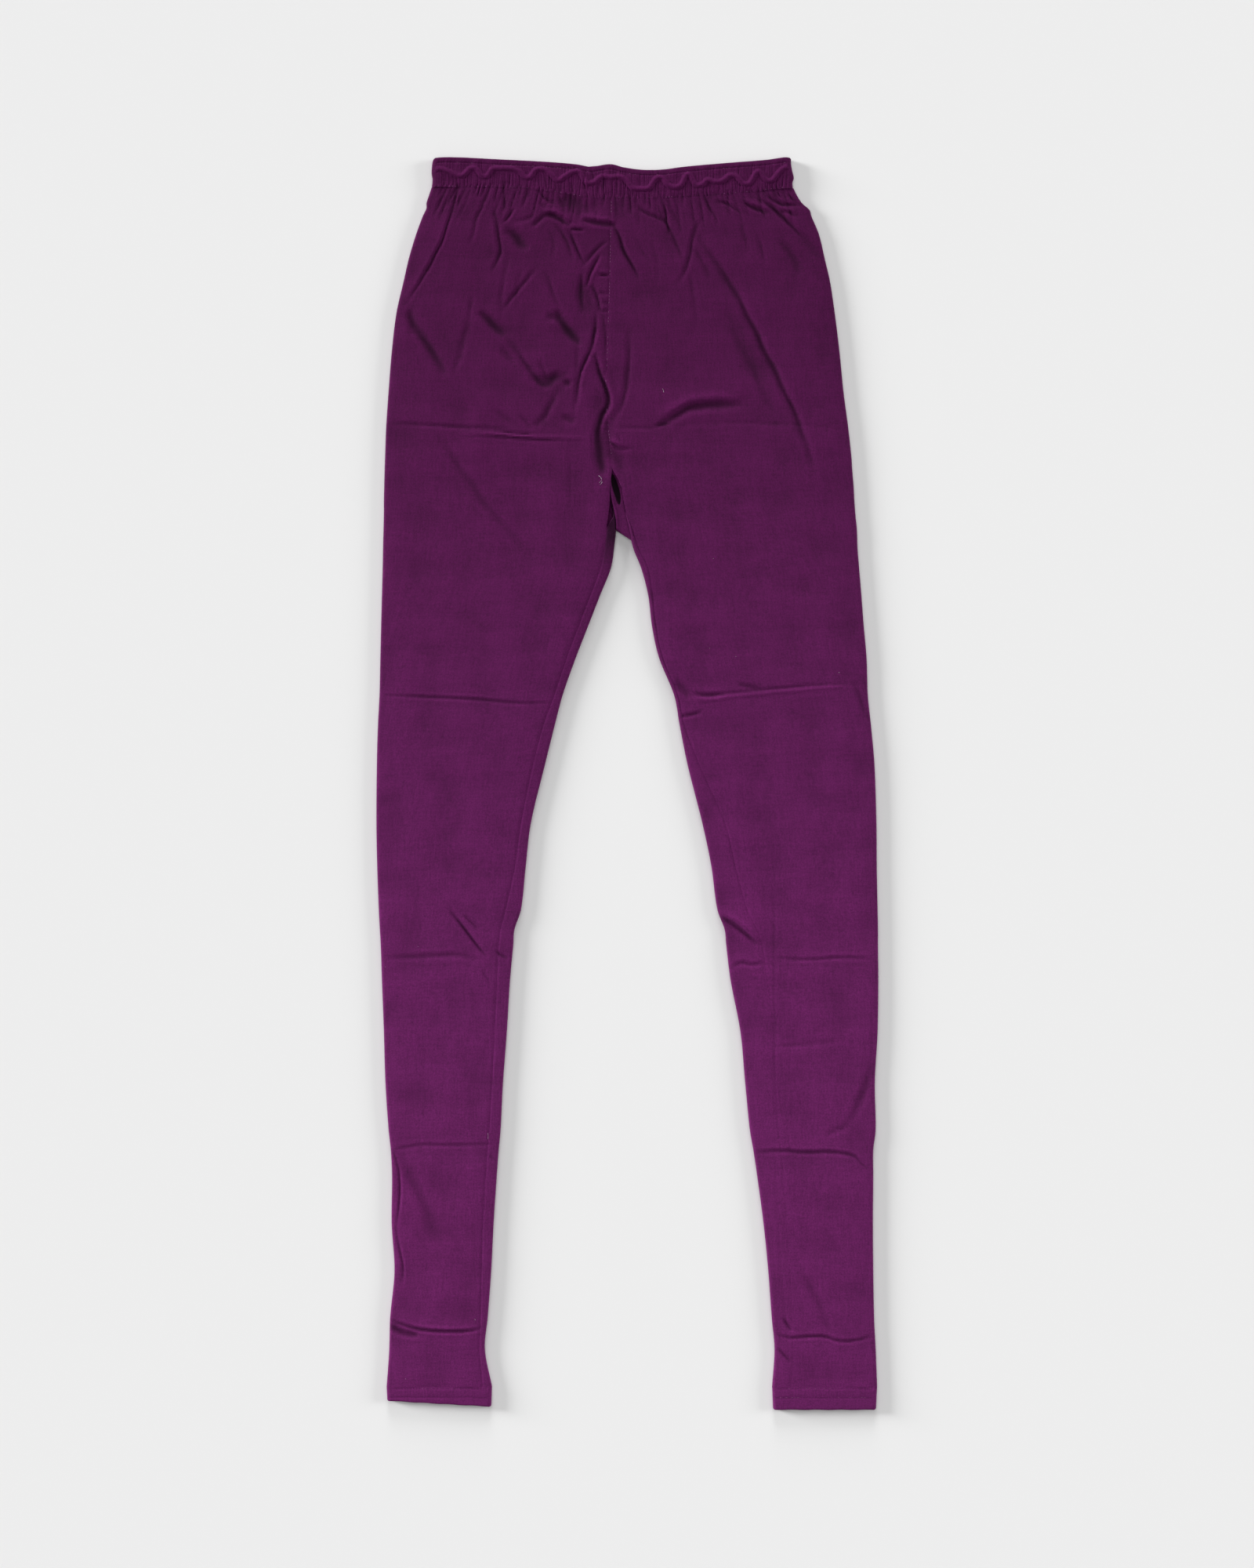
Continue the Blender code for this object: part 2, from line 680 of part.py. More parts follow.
def build_casing(name, rows, collection):
    """Half of the casing, in levels from the turned top edge to its sewn edge."""
    def top(x):
        return read_table(WAIST_TOP, x, 1)

    def bottom(x):
        return read_table(WAIST_BOTTOM, x, 1)

    def cord(x):
        return read_table(CORD, x, 1)

    def upper_stitch(x):
        return min(top(x) + UPPER_STITCH, cord(x) - STITCH_ABOVE_CORD)

    def level(front, share, relief, pinch=0.0):
        def inside(x):
            return top(x) + (bottom(x) - top(x)) * share

        def back(x):
            edge = top(x) + BACK_EDGE_DROP
            return edge + (back_casing_edge(rows, x) - edge) * share

        return CasingLevel(front, inside, back, relief, pinch)

    levels = (
        level(top, 0.0, 0.0, TOP_PINCH),
        level(lambda x: top(x) + TOP_FOLD, 0.07, 0.0),
        level(upper_stitch, 0.25, -STITCH_GROOVE),
        level(lambda x: cord(x) - CORD_WIDTH / 2, 0.4, 0.0),
        level(cord, 0.5, CORD_RELIEF),
        level(lambda x: cord(x) + CORD_WIDTH / 2, 0.6, 0.0),
        level(bottom, 1.0, -STITCH_GROOVE),
    )
    sections = [casing_section(rows, each) for each in levels]
    return loft_wall(name, sections, PLUM, collection)


def hem_section(outer, inner, down_outer, down_inner, pinch):
    """Closed loop of the hem band's wall at one height."""
    inward = 1.0 if inner > outer else -1.0
    width = abs(inner - outer)
    radius = HEM_THICKNESS / 2

    def point(across, height):
        down = down_outer + (down_inner - down_outer) * across / width
        return Vector((outer + inward * across, -down, height)) * MM

    flat = width - 2 * radius
    outside, inside = [], []
    for index in range(LEG_COLUMNS + 1):
        share = index / LEG_COLUMNS
        across = width - radius - flat * share
        height = HEM_THICKNESS + HEM_CROWN * sin(pi * share)
        outside.append((FRONT_END * share, point(across, height - pinch)))
        inside.append((FRONT_END * share, point(across, height - HEM_WALL)))
    side = (FRONT_END, SIDE_END)
    add_turn(outside, point, radius, radius, radius, (90, 270), side, FOLD_STEPS)
    add_turn(inside, point, radius, radius, radius - HEM_WALL, (90, 270), side, FOLD_STEPS)
    for step in range(1, BACK_COLUMNS + 1):
        share = step / BACK_COLUMNS
        place = SIDE_END + (BACK_END - SIDE_END) * share
        outside.append((place, point(radius + flat * share, 0.0)))
        inside.append((place, point(radius + flat * share, HEM_WALL)))
    rise = (-90, 90 - 180 / FOLD_STEPS)
    turned = (BACK_END, 1.0 - (1.0 - BACK_END) / FOLD_STEPS)
    far = width - radius
    add_turn(outside, point, far, radius, radius, rise, turned, FOLD_STEPS - 1)
    add_turn(inside, point, far, radius, radius - HEM_WALL, rise, turned, FOLD_STEPS - 1)
    return Row(outside, inside)


def build_hem(name, rows, edge, collection):
    top = leg_row(rows, HEM_START)
    full_outer = edge.down_outer - HEM_ROUNDING
    full_inner = edge.down_inner - HEM_ROUNDING
    sections = [
        hem_section(top.outer, top.inner, HEM_START, HEM_START, 0.0),
        hem_section(edge.outer, edge.inner, full_outer, full_inner, 0.0),
        hem_section(edge.outer, edge.inner, edge.down_outer, edge.down_inner, HEM_PINCH),
    ]
    return loft_wall(name, sections, HEM_PLUM, collection, closed=True)


def build_gusset(collection):
    """The folded diamond between the legs, its fold at the crotch's lower end."""
    radius = GUSSET_THICKNESS / 2
    shares = [index / GUSSET_COLUMNS for index in range(GUSSET_COLUMNS + 1)]

    def line(left, right, down, height, slant):
        return [
            (share, Vector((left + (right - left) * share, -(down + slant * share), height)) * MM)
            for share in shares
        ]

    sections = []
    for row in GUSSET_FRONT:
        sections.append(Row(
            line(row.left, row.right, row.down, GUSSET_THICKNESS, 0.0),
            line(row.left, row.right, row.down, GUSSET_THICKNESS - CLOTH, 0.0),
        ))
    for step in range(1, FOLD_STEPS):
        angle = radians(90 - 180 * step / FOLD_STEPS)
        outside, inside = [
            line(
                GUSSET_FOLD_LEFT, GUSSET_FOLD_RIGHT, GUSSET_FOLD_DOWN - radius + reach * cos(angle),
                radius + reach * sin(angle), GUSSET_SLANT,
            )
            for reach in (radius, radius - CLOTH)
        ]
        sections.append(Row(outside, inside))
    for row in GUSSET_BACK:
        sections.append(Row(
            line(row.left, row.right, row.down, 0.0, 0.0),
            line(row.left, row.right, row.down, CLOTH, 0.0),
        ))
    return loft_wall("crotch_gusset", sections, PLUM, collection)


def centre_on_origin(pieces):
    """Moves all points so that the origin is under the middle of the garment."""
    corners = [vertex.co for piece in pieces for vertex in piece.data.vertices]
    middle = [
        (min(corner[axis] for corner in corners) + max(corner[axis] for corner in corners)) / 2
        for axis in (0, 1)
    ]
    shift = Vector((middle[0], middle[1], 0.0))
    for piece in pieces:
        for vertex in piece.data.vertices:
            vertex.co -= shift


def main():
    for thing in list(bpy.data.objects):
        bpy.data.objects.remove(thing, do_unlink=True)
    collection = bpy.data.collections.new("churidar_pants")
    bpy.context.scene.collection.children.link(collection)
    pieces = [
        build_leg("leg_panel_right", RIGHT_LEG, RIGHT_GATHERS, collection),
        build_leg("leg_panel_left", LEFT_LEG, LEFT_GATHERS, collection),
        build_casing("waist_casing_right", RIGHT_LEG, collection),
        build_casing("waist_casing_left", LEFT_LEG, collection),
        build_gusset(collection),
        build_hem("hem_right", RIGHT_LEG, RIGHT_HEM, collection),
        build_hem("hem_left", LEFT_LEG, LEFT_HEM, collection),
    ]
    centre_on_origin(pieces)


main()
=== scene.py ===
"""Churidar trousers in fine plum cotton jersey, laid flat with the front up.

The legs, the halves of the waist casing, the hems and the gusset are thin shells
of cloth in the places of their solids, with the creases, gathers, ribs and sewing
of the real garment.

Tables are in millimetres: x is measured from the middle of the garment towards
the wearer's left, and down is measured from the highest point of the waist.
"""

from collections import namedtuple
from json import dumps
from math import cos, hypot, pi, radians, sin

import bmesh
import bpy
import numpy as np
from bpy.props import FloatProperty, FloatVectorProperty, PointerProperty
from bpy.types import Operator, Panel, PropertyGroup
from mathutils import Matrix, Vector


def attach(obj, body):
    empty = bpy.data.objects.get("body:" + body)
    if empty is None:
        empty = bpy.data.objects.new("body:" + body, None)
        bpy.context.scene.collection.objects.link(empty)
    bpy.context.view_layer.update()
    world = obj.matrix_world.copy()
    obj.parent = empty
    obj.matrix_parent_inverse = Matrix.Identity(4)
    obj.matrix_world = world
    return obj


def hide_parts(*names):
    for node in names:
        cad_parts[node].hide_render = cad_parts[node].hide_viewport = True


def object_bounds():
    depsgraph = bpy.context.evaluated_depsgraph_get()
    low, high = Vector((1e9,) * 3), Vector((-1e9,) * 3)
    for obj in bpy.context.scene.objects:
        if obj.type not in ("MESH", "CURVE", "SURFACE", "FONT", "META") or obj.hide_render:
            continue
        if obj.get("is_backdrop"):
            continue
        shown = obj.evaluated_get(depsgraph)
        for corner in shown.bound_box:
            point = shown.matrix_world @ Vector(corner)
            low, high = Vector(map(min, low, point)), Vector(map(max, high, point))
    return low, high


bl_info = {
    "name": "Churidar trousers",
    "version": (1, 0, 0),
    "blender": (4, 5, 0),
    "location": "3D View > Sidebar > Churidar",
    "description": "Dresses flat churidar trousers in creased plum cotton jersey",
    "category": "Object",
}

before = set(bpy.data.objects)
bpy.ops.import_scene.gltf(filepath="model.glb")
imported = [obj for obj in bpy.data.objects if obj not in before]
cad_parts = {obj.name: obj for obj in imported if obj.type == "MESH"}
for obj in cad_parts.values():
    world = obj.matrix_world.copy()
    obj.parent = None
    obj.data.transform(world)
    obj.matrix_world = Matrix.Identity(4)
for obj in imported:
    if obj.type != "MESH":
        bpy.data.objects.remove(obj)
CAD_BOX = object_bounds()

MM = 0.001

# Thickness of the flat garment at its folds, as in the solids
FOLD_THICKNESS = 4.6
CASING_THICKNESS = 5.8
HEM_THICKNESS = 4.9
GUSSET_THICKNESS = 3.6

# Gap left at a seam, and how deep and wide the cloth dips into it
SEAM_GAP = 0.02
SEAM_DEPTH = 0.4
SEAM_WIDTH = 0.9

# Over what distance the front rises from a fold, and creases die away towards it
ROLL = 14.0
EDGE_FADE = 3.0

# Below here the left leg's inseam is pressed nearly flat
LEFT_SEAM_FLAT = 700.0

# Down to here the right leg's inner fold lies in the shade of the gusset
SHADE_END = 346.0

# Cloth of each piece, and how far the plain inside stays below the creased front
CLOTH = 0.8
CASING_WALL = 1.8
HEM_WALL = 1.4
PLAIN_INSIDE = 3.0
DEEPEST = 2.2

# A leg at one height: the side fold, the front edge (centre front seam, then
# inseam), the back edge (centre back seam, then inner fold), and how far the
# back has turned up round the inner fold, from 0 to 1
LegRow = namedtuple("LegRow", "down outer seam inner wrap")

RIGHT_LEG = [LegRow(*row) for row in (
    (24.7, -161.8, -13.7, -13.7, 0.0),
    (31.9, -164.2, -13.7, -13.7, 0.0),
    (38.4, -166.3, -13.7, -13.7, 0.0),
    (42.3, -166.2, -13.7, -13.7, 0.0),
    (48.1, -169.0, -13.7, -13.7, 0.0),
    (63.7, -174.8, -14.3, -13.7, 0.0),
    (83.2, -180.7, -14.6, -13.7, 0.0),
    (102.7, -185.2, -15.0, -13.7, 0.0),
    (128.7, -191.1, -15.9, -13.7, 0.0),
    (161.2, -195.0, -16.9, -13.7, 0.0),
    (193.7, -197.6, -18.2, -13.7, 0.0),
    (223.0, -199.6, -16.2, -13.7, 0.0),
    (248.0, -200.5, -13.4, -13.3, 0.0),
    (257.4, -200.8, -12.4, -13.0, 0.0),
    (271.7, -201.2, -14.0, -12.3, 0.0),
    (284.7, -201.5, -14.3, -11.4, 0.35),
    (294.4, -201.5, -15.3, -10.1, 0.7),
    (307.4, -201.8, -16.9, -9.1, 1.0),
    (323.7, -202.2, -18.9, -10.7, 1.0),
    (339.9, -202.5, -22.1, -13.3, 1.0),
    (362.7, -203.1, -30.6, -22.4, 1.0),
    (388.7, -203.8, -40.6, -32.5, 1.0),
    (414.7, -204.4, -50.4, -42.6, 1.0),
    (445.2, -205.1, -60.5, -53.3, 1.0),
    (469.9, -206.4, -69.5, -59.8, 1.0),
    (502.5, -207.3, -78.0, -67.9, 1.0),
    (551.2, -207.7, -88.1, -79.6, 1.0),
    (587.0, -207.0, -93.0, -83.9, 1.0),
    (622.7, -205.7, -100.8, -87.8, 1.0),
    (639.6, -204.8, -105.0, -93.3, 1.0),
    (652.0, -204.1, -106.6, -94.2, 1.0),
    (681.2, -203.1, -107.9, -96.9, 1.0),
    (723.5, -201.5, -109.9, -99.5, 1.0),
    (765.7, -200.2, -111.8, -102.7, 1.0),
    (804.7, -197.6, -114.4, -104.7, 1.0),
    (822.2, -195.7, -115.7, -106.3, 1.0),
    (843.7, -194.7, -117.3, -107.9, 1.0),
    (882.7, -195.0, -119.6, -110.5, 1.0),
    (921.7, -192.7, -120.6, -112.5, 1.0),
    (960.7, -196.3, -121.5, -115.4, 1.0),
    (986.7, -197.0, -122.5, -117.7, 1.0),
    (1017.9, -199.2, -119.6, -111.8, 1.0),
)]

LEFT_LEG = [LegRow(*row) for row in (
    (24.7, 137.8, -13.7, -13.7, 0.0),
    (31.2, 141.0, -13.7, -13.7, 0.0),
    (37.7, 145.3, -13.7, -13.7, 0.0),
    (42.9, 151.2, -13.7, -13.7, 0.0),
    (48.1, 152.8, -13.7, -13.7, 0.0),
    (63.7, 159.2, -14.3, -13.7, 0.0),
    (83.2, 163.8, -14.6, -13.7, 0.0),
    (102.7, 168.3, -15.0, -13.7, 0.0),
    (128.7, 172.2, -15.9, -13.7, 0.0),
    (161.2, 176.2, -16.9, -13.7, 0.0),
    (193.7, 179.4, -18.2, -13.7, 0.0),
    (223.0, 183.3, -16.2, -13.7, 0.0),
    (248.0, 186.0, -13.4, -13.3, 0.0),
    (257.4, 186.6, -12.4, -13.0, 0.0),
    (271.7, 187.8, -4.9, -9.8, 0.0),
    (284.7, 188.5, -2.9, -4.4, 0.3),
    (294.4, 189.2, -0.9, -1.8, 0.75),
    (307.4, 190.5, 3.4, 1.5, 1.0),
    (323.7, 191.1, 9.6, 5.2, 1.0),
    (339.9, 192.4, 17.6, 11.7, 1.0),
    (362.7, 194.3, 21.1, 17.6, 1.0),
    (388.7, 196.3, 24.1, 20.8, 1.0),
    (414.7, 198.6, 29.9, 26.7, 1.0),
    (445.2, 199.6, 42.2, 39.0, 1.0),
    (469.9, 202.2, 47.5, 43.6, 1.0),
    (502.5, 205.1, 59.8, 50.1, 1.0),
    (551.2, 206.7, 81.2, 62.4, 1.0),
    (587.0, 207.0, 89.7, 69.9, 1.0),
    (622.7, 207.7, 99.5, 74.8, 1.0),
    (639.6, 208.0, 107.2, 80.9, 1.0),
    (652.0, 208.0, 111.8, 82.2, 1.0),
    (681.2, 208.3, 116.4, 85.8, 1.0),
    (723.5, 207.7, 121.5, 93.9, 1.0),
    (765.7, 205.4, 123.2, 97.8, 1.0),
    (804.7, 206.1, 125.5, 101.7, 1.0),
    (822.2, 204.1, 127.4, 104.7, 1.0),
    (843.7, 204.1, 130.0, 107.9, 1.0),
    (882.7, 203.8, 132.6, 113.1, 1.0),
    (921.7, 204.1, 135.2, 117.0, 1.0),
    (960.7, 204.8, 136.8, 119.9, 1.0),
    (986.7, 206.1, 137.8, 122.2, 1.0),
    (1017.9, 207.3, 135.8, 120.2, 1.0),
)]

# How far the cloth stands above its folded edges, down the garment
CROWN = (
    (24.7, 1.3), (80.0, 1.7), (240.0, 1.4), (290.0, 0.9),
    (420.0, 1.4), (700.0, 1.1), (960.0, 0.9), (1017.9, 0.4),
)

# Upper and lower edge of the waist casing, across the garment
WAIST_TOP = (
    (-161.8, 2.6), (-158.6, 0.5), (-142.4, 0.0), (-108.6, 1.6), (-64.4, 3.9), (-41.6, 5.9),
    (-29.9, 7.8), (-13.7, 5.7), (-2.0, 8.5), (13.7, 10.4), (29.9, 10.1), (47.5, 7.8),
    (83.9, 4.6), (116.4, 2.0), (130.7, 0.0), (135.0, 0.5), (137.8, 2.6),
)
WAIST_BOTTOM = (
    (-161.8, 24.7), (-100.1, 25.4), (-79.3, 26.7), (-50.7, 30.6), (-28.6, 34.2), (-9.8, 34.0),
    (19.5, 34.4), (45.5, 33.2), (76.7, 31.2), (101.4, 29.3), (120.9, 26.7), (137.8, 25.5),
)

# Level where a leg's rows begin, how far down they still follow the casing's edge,
# and how much lower the back's top edge lies
CASING_END = 25.2
DIP_REACH = 70.0
BACK_EDGE_DROP = 0.8

# Side folds of the casing, which wander a little, and its depth there
RIGHT_CASING_SIDE = ((0.0, -160.9), (5.0, -161.6), (12.0, -161.9), (18.0, -161.2), (25.5, -161.8))
LEFT_CASING_SIDE = ((0.0, 135.4), (7.0, 136.4), (15.6, 138.2), (20.2, 137.1), (25.5, 137.6))
SIDE_DEPTH = 25.0

# Crests and dips of the cord that shows through the casing's front
CORD = (
    (-161.8, 12.0), (-156.0, 9.6), (-147.6, 11.7), (-139.8, 15.2), (-135.4, 14.6), (-130.0, 9.4),
    (-124.8, 9.6), (-120.6, 15.0), (-116.0, 15.6), (-111.6, 9.8), (-105.2, 9.2), (-96.0, 9.4),
    (-89.1, 11.7), (-84.5, 16.2), (-80.6, 16.4), (-75.6, 10.4), (-68.3, 10.2), (-63.1, 13.7),
    (-57.4, 19.0), (-52.0, 16.0), (-45.5, 12.2), (-39.0, 12.4), (-34.0, 20.6), (-28.6, 21.0),
    (-21.0, 16.0), (-13.0, 16.6), (-6.5, 16.0), (-1.3, 18.4), (4.4, 25.2), (11.7, 26.2),
    (18.2, 25.4), (23.4, 18.2), (29.0, 17.0), (33.8, 22.8), (40.1, 24.8), (45.0, 22.6),
    (48.6, 15.2), (52.0, 15.0), (56.6, 22.6), (62.0, 22.6), (66.6, 19.0), (73.5, 20.4),
    (79.6, 19.2), (84.2, 15.4), (90.6, 15.8), (95.8, 21.2), (101.6, 21.2), (106.4, 13.4),
    (109.8, 12.0), (115.2, 18.6), (120.6, 18.6), (126.0, 12.0), (130.6, 8.6), (137.8, 8.0),
)
CORD_RADIUS = 2.5
CORD_STEP = 0.6

# The upper row of sewing runs this far below the top edge, or above the cord
UPPER_STITCH = 4.4
STITCH_ABOVE_CORD = 2.2

# The lower row of sewing runs this far above the casing's lower edge
LOWER_STITCH = 0.9

# Ribs of the casing: where they start and end, the range of their steps and
# depths, how many show, and how much deeper those of the lower band are
RIBBED = (-160.5, 137.0)
RIB_STEP = (1.15, 2.1)
RIB_DEPTH = (0.12, 0.36)
RIB_CHANCE = 0.88
LOWER_BAND = 1.35

# A crease runs along its path: a trough of that width and depth, or a ridge
# where the depth is negative. A lip above 0 lifts the cloth on the left of the
# path's direction, as a fold lying over it does, and below 0 on the right
Crease = namedtuple("Crease", "path width depth lip", defaults=(0.0,))

HIP_CREASES = [Crease(*row) for row in (
    (
        ((-140, 19), (-142, 36), (-149, 57), (-156, 75), (-161, 85), (-170, 101), (-183, 122)),
        1.3, 1.0, -0.4,
    ),
    (((-183, 127), (-174, 142), (-164, 158), (-156, 169), (-150, 182)), 3.2, 1.7),
    (((-179, 124), (-178, 149)), 3.0, 0.7),
    (((-129, 129), (-134, 148), (-139, 166), (-144, 181)), 2.4, 0.5),
    (((-117, 21), (-119, 40), (-125, 50), (-126, 59), (-131, 73)), 1.5, 0.7),
    (((-102, 19), (-102, 31), (-101, 45)), 1.2, 0.8),
    (((-93, 41), (-97, 49), (-103, 55)), 1.2, 1.0, 0.2),
    (((-111, 43), (-108, 51), (-107, 66), (-104, 77), (-105, 82), (-112, 95)), 1.6, 1.1, -0.3),
    (((-94, 53), (-83, 52), (-76, 48)), 1.6, 0.5),
    (((-79, 58), (-74, 54), (-67, 48)), 1.8, 1.0),
    (((-69, 48), (-61, 48), (-54, 52), (-47, 56)), 1.9, 1.8, 0.6),
    (((-47, 59), (-36, 61)), 1.3, 1.3, 0.3),
    (((-74, 27), (-67, 35), (-58, 39)), 1.2, 1.0),
    (((-73, 37), (-67, 43)), 1.2, 0.6, 0.2),
    (((-53, 31), (-38, 40)), 4.6, 0.8),
    (((-56, 33), (-53, 43)), 1.2, 0.8),
    (((-38, 52), (-26, 54), (-9, 57)), 2.0, 1.6, 0.6),
    (((-13, 55), (-6, 66), (-3, 77), (3, 88), (11, 101)), 2.0, 1.6, 0.2),
    (((-59, 55), (-50, 70), (-44, 86)), 1.7, 0.9, 0.1),
    (((-48, 60), (-43, 74), (-35, 90)), 1.7, 1.3, 0.2),
    (((-16, 69), (-28, 79), (-37, 91)), 1.4, 0.8, 0.1),
    (((-22, 80), (-29, 92), (-34, 109)), 1.4, 1.2, 0.3),
    (((-38, 96), (-38, 116), (-36, 129)), 2.0, 1.2),
    (((-29, 106), (-24, 116), (-22, 129)), 1.4, 1.2, 0.3),
    (((-25, 97), (-15, 98)), 1.3, 1.2, 0.3),
    (((-24, 113), (-15, 113)), 1.2, 0.8),
    (((-22, 120), (-15, 121)), 1.1, 0.7),
    (((-22, 127), (-15, 127)), 1.1, 0.6),
    (((-26, 127), (-27, 155), (-28, 162)), 1.4, 1.0, 0.2),
    (((-20, 126), (-18, 144), (-19, 168)), 1.3, 0.7),
    (((-101, 60), (-92, 65), (-88, 72), (-81, 76)), 3.6, 1.6),
    (((-75, 92), (-80, 98), (-93, 113), (-103, 128)), 1.6, 0.8),
    (((-68, 94), (-64, 103), (-61, 114), (-55, 127)), 1.8, 0.7),
    (((-128, 115), (-132, 136)), 1.6, 0.5),
    (((-123, 128), (-115, 134), (-110, 141), (-101, 148)), 3.0, 1.9),
    (((-67, 132), (-56, 134)), 3.0, 0.9),
    (((-59, 126), (-52, 140), (-44, 149), (-37, 156)), 3.0, 2.1),
    (((-104, 157), (-94, 173)), 2.6, 0.7),
    (((-90, 164), (-78, 179), (-72, 188), (-65, 189), (-60, 182), (-55, 175)), 2.6, 1.2),
    (((-73, 169), (-65, 185)), 1.8, 0.7),
    (((-53, 186), (-45, 188)), 2.6, 1.1),
    (((-58, 194), (-64, 207), (-68, 216), (-77, 223)), 2.2, 0.8),
    (((-89, 213), (-83, 220), (-78, 226)), 1.8, 0.7),
    (((-54, 215), (-42, 218)), 2.8, 0.9),
    (((-26, 140), (-29, 158), (-35, 169), (-39, 181), (-42, 207)), 1.5, 1.3, 0.2),
    (((-28, 161), (-23, 176), (-17, 192), (-15, 206), (-20, 213), (-25, 226), (-26, 241)), 1.9, 2.1, 0.4),
    (((-24, 223), (-25, 242), (-19, 263)), 3.2, 1.8),
    (((-14, 236), (-9, 238), (-5, 240)), 1.1, 1.6, 0.5),
    (((-8, 227), (-6, 236)), 1.1, 0.8),
    (((-16, 237), (-5, 242), (5, 241)), 1.4, 0.8, 0.3),
    (((-157, 228), (-144, 250), (-129, 270), (-118, 287), (-101, 307), (-79, 329)), 3.2, 0.7, 0.2),
    (((-47, 230), (-47, 300)), 1.3, 0.3),
    (((-116, 194), (-126, 233), (-127, 285)), 9.0, -0.4),
    (((8, 40), (16, 47), (26, 50), (33, 56)), 1.4, 0.9, 0.2),
    (((24, 32), (28, 49), (34, 57), (43, 77), (49, 90)), 1.5, 0.8),
    (((33, 34), (41, 51), (43, 58)), 1.4, 0.7),
    (((64, 33), (69, 44), (74, 51), (75, 58)), 1.4, 0.8),
    (((73, 37), (83, 38), (89, 43), (95, 47)), 1.3, 0.9, 0.2),
    (((97, 37), (104, 41), (117, 47)), 1.7, 1.5, 0.6),
    (((109, 34), (122, 43), (131, 52), (147, 67)), 2.0, 1.4, 0.3),
    (((115, 32), (127, 39), (135, 40), (145, 39)), 1.6, 1.2, 0.2),
    (((127, 45), (133, 46), (141, 50)), 1.5, 0.9),
    (((133, 30), (139, 36), (145, 40)), 1.4, 0.9, 0.3),
    (((95, 56), (99, 70), (100, 81)), 1.6, 0.5),
    (((107, 64), (111, 75), (115, 89)), 1.6, 0.6),
    (((126, 69), (134, 79), (139, 87), (143, 98)), 3.0, 0.8),
    (((144, 64), (156, 79), (163, 88)), 4.0, 0.7),
    (((61, 51), (56, 62), (53, 72), (52, 83), (49, 93), (42, 106)), 1.5, 1.0),
    (((55, 75), (65, 92), (69, 103)), 2.2, 0.6),
    (((52, 97), (54, 109), (56, 125)), 1.8, 0.5),
    (
        ((57, 63), (74, 88), (90, 112), (98, 127), (118, 168), (127, 186), (146, 228), (158, 270)),
        2.8, 1.3, 0.5,
    ),
    (((85, 142), (101, 168), (112, 193), (122, 213)), 3.2, 0.7),
    (((2, 142), (1, 186), (-6, 210), (-14, 224)), 2.0, 0.9),
    (((57, 114), (57, 145)), 2.2, 0.3),
    (((26, 224), (34, 218), (42, 213), (53, 206), (73, 205), (96, 205)), 3.4, 1.6, 0.5),
    (((23, 223), (34, 220)), 1.3, 1.1),
    (((-62, 138), (-50, 146), (-38, 152)), 7.0, 0.7),
    (((-58, 38), (-38, 43), (-22, 46)), 7.0, 0.8),
    (((-98, 64), (-84, 73)), 6.0, 0.5),
    (((-114, 130), (-98, 150)), 6.0, 0.5),
    (((-38, 104), (-30, 130)), 6.0, 0.6),
    (((-76, 184), (-48, 190)), 7.0, 0.5),
    (((-24, 190), (-19, 216), (-19, 240), (-22, 268)), 6.5, 1.0),
    (((-14, 240), (-6, 252), (-5, 264)), 4.0, 0.9),
    (((30, 60), (44, 84)), 6.0, 0.4),
    (((82, 124), (118, 190)), 8.0, 0.4),
    (((-96, 77), (-104, 107), (-104, 135)), 1.6, 0.45),
    (((-102, 146), (-90, 163), (-80, 177)), 2.2, 0.6),
    (((-80, 184), (-60, 184), (-48, 178)), 3.0, 0.7),
    (((-113, 208), (-88, 225)), 2.2, 0.4),
    (((-40, 140), (-42, 186), (-44, 222)), 1.4, 0.45),
    (((-66, 58), (-60, 72), (-62, 84)), 1.4, 0.4),
    (((-88, 92), (-92, 110), (-90, 122)), 1.6, 0.35),
    (((20, 68), (26, 92), (24, 108)), 1.6, 0.35),
    (((4, 62), (14, 80), (22, 90)), 1.6, 0.4),
)]

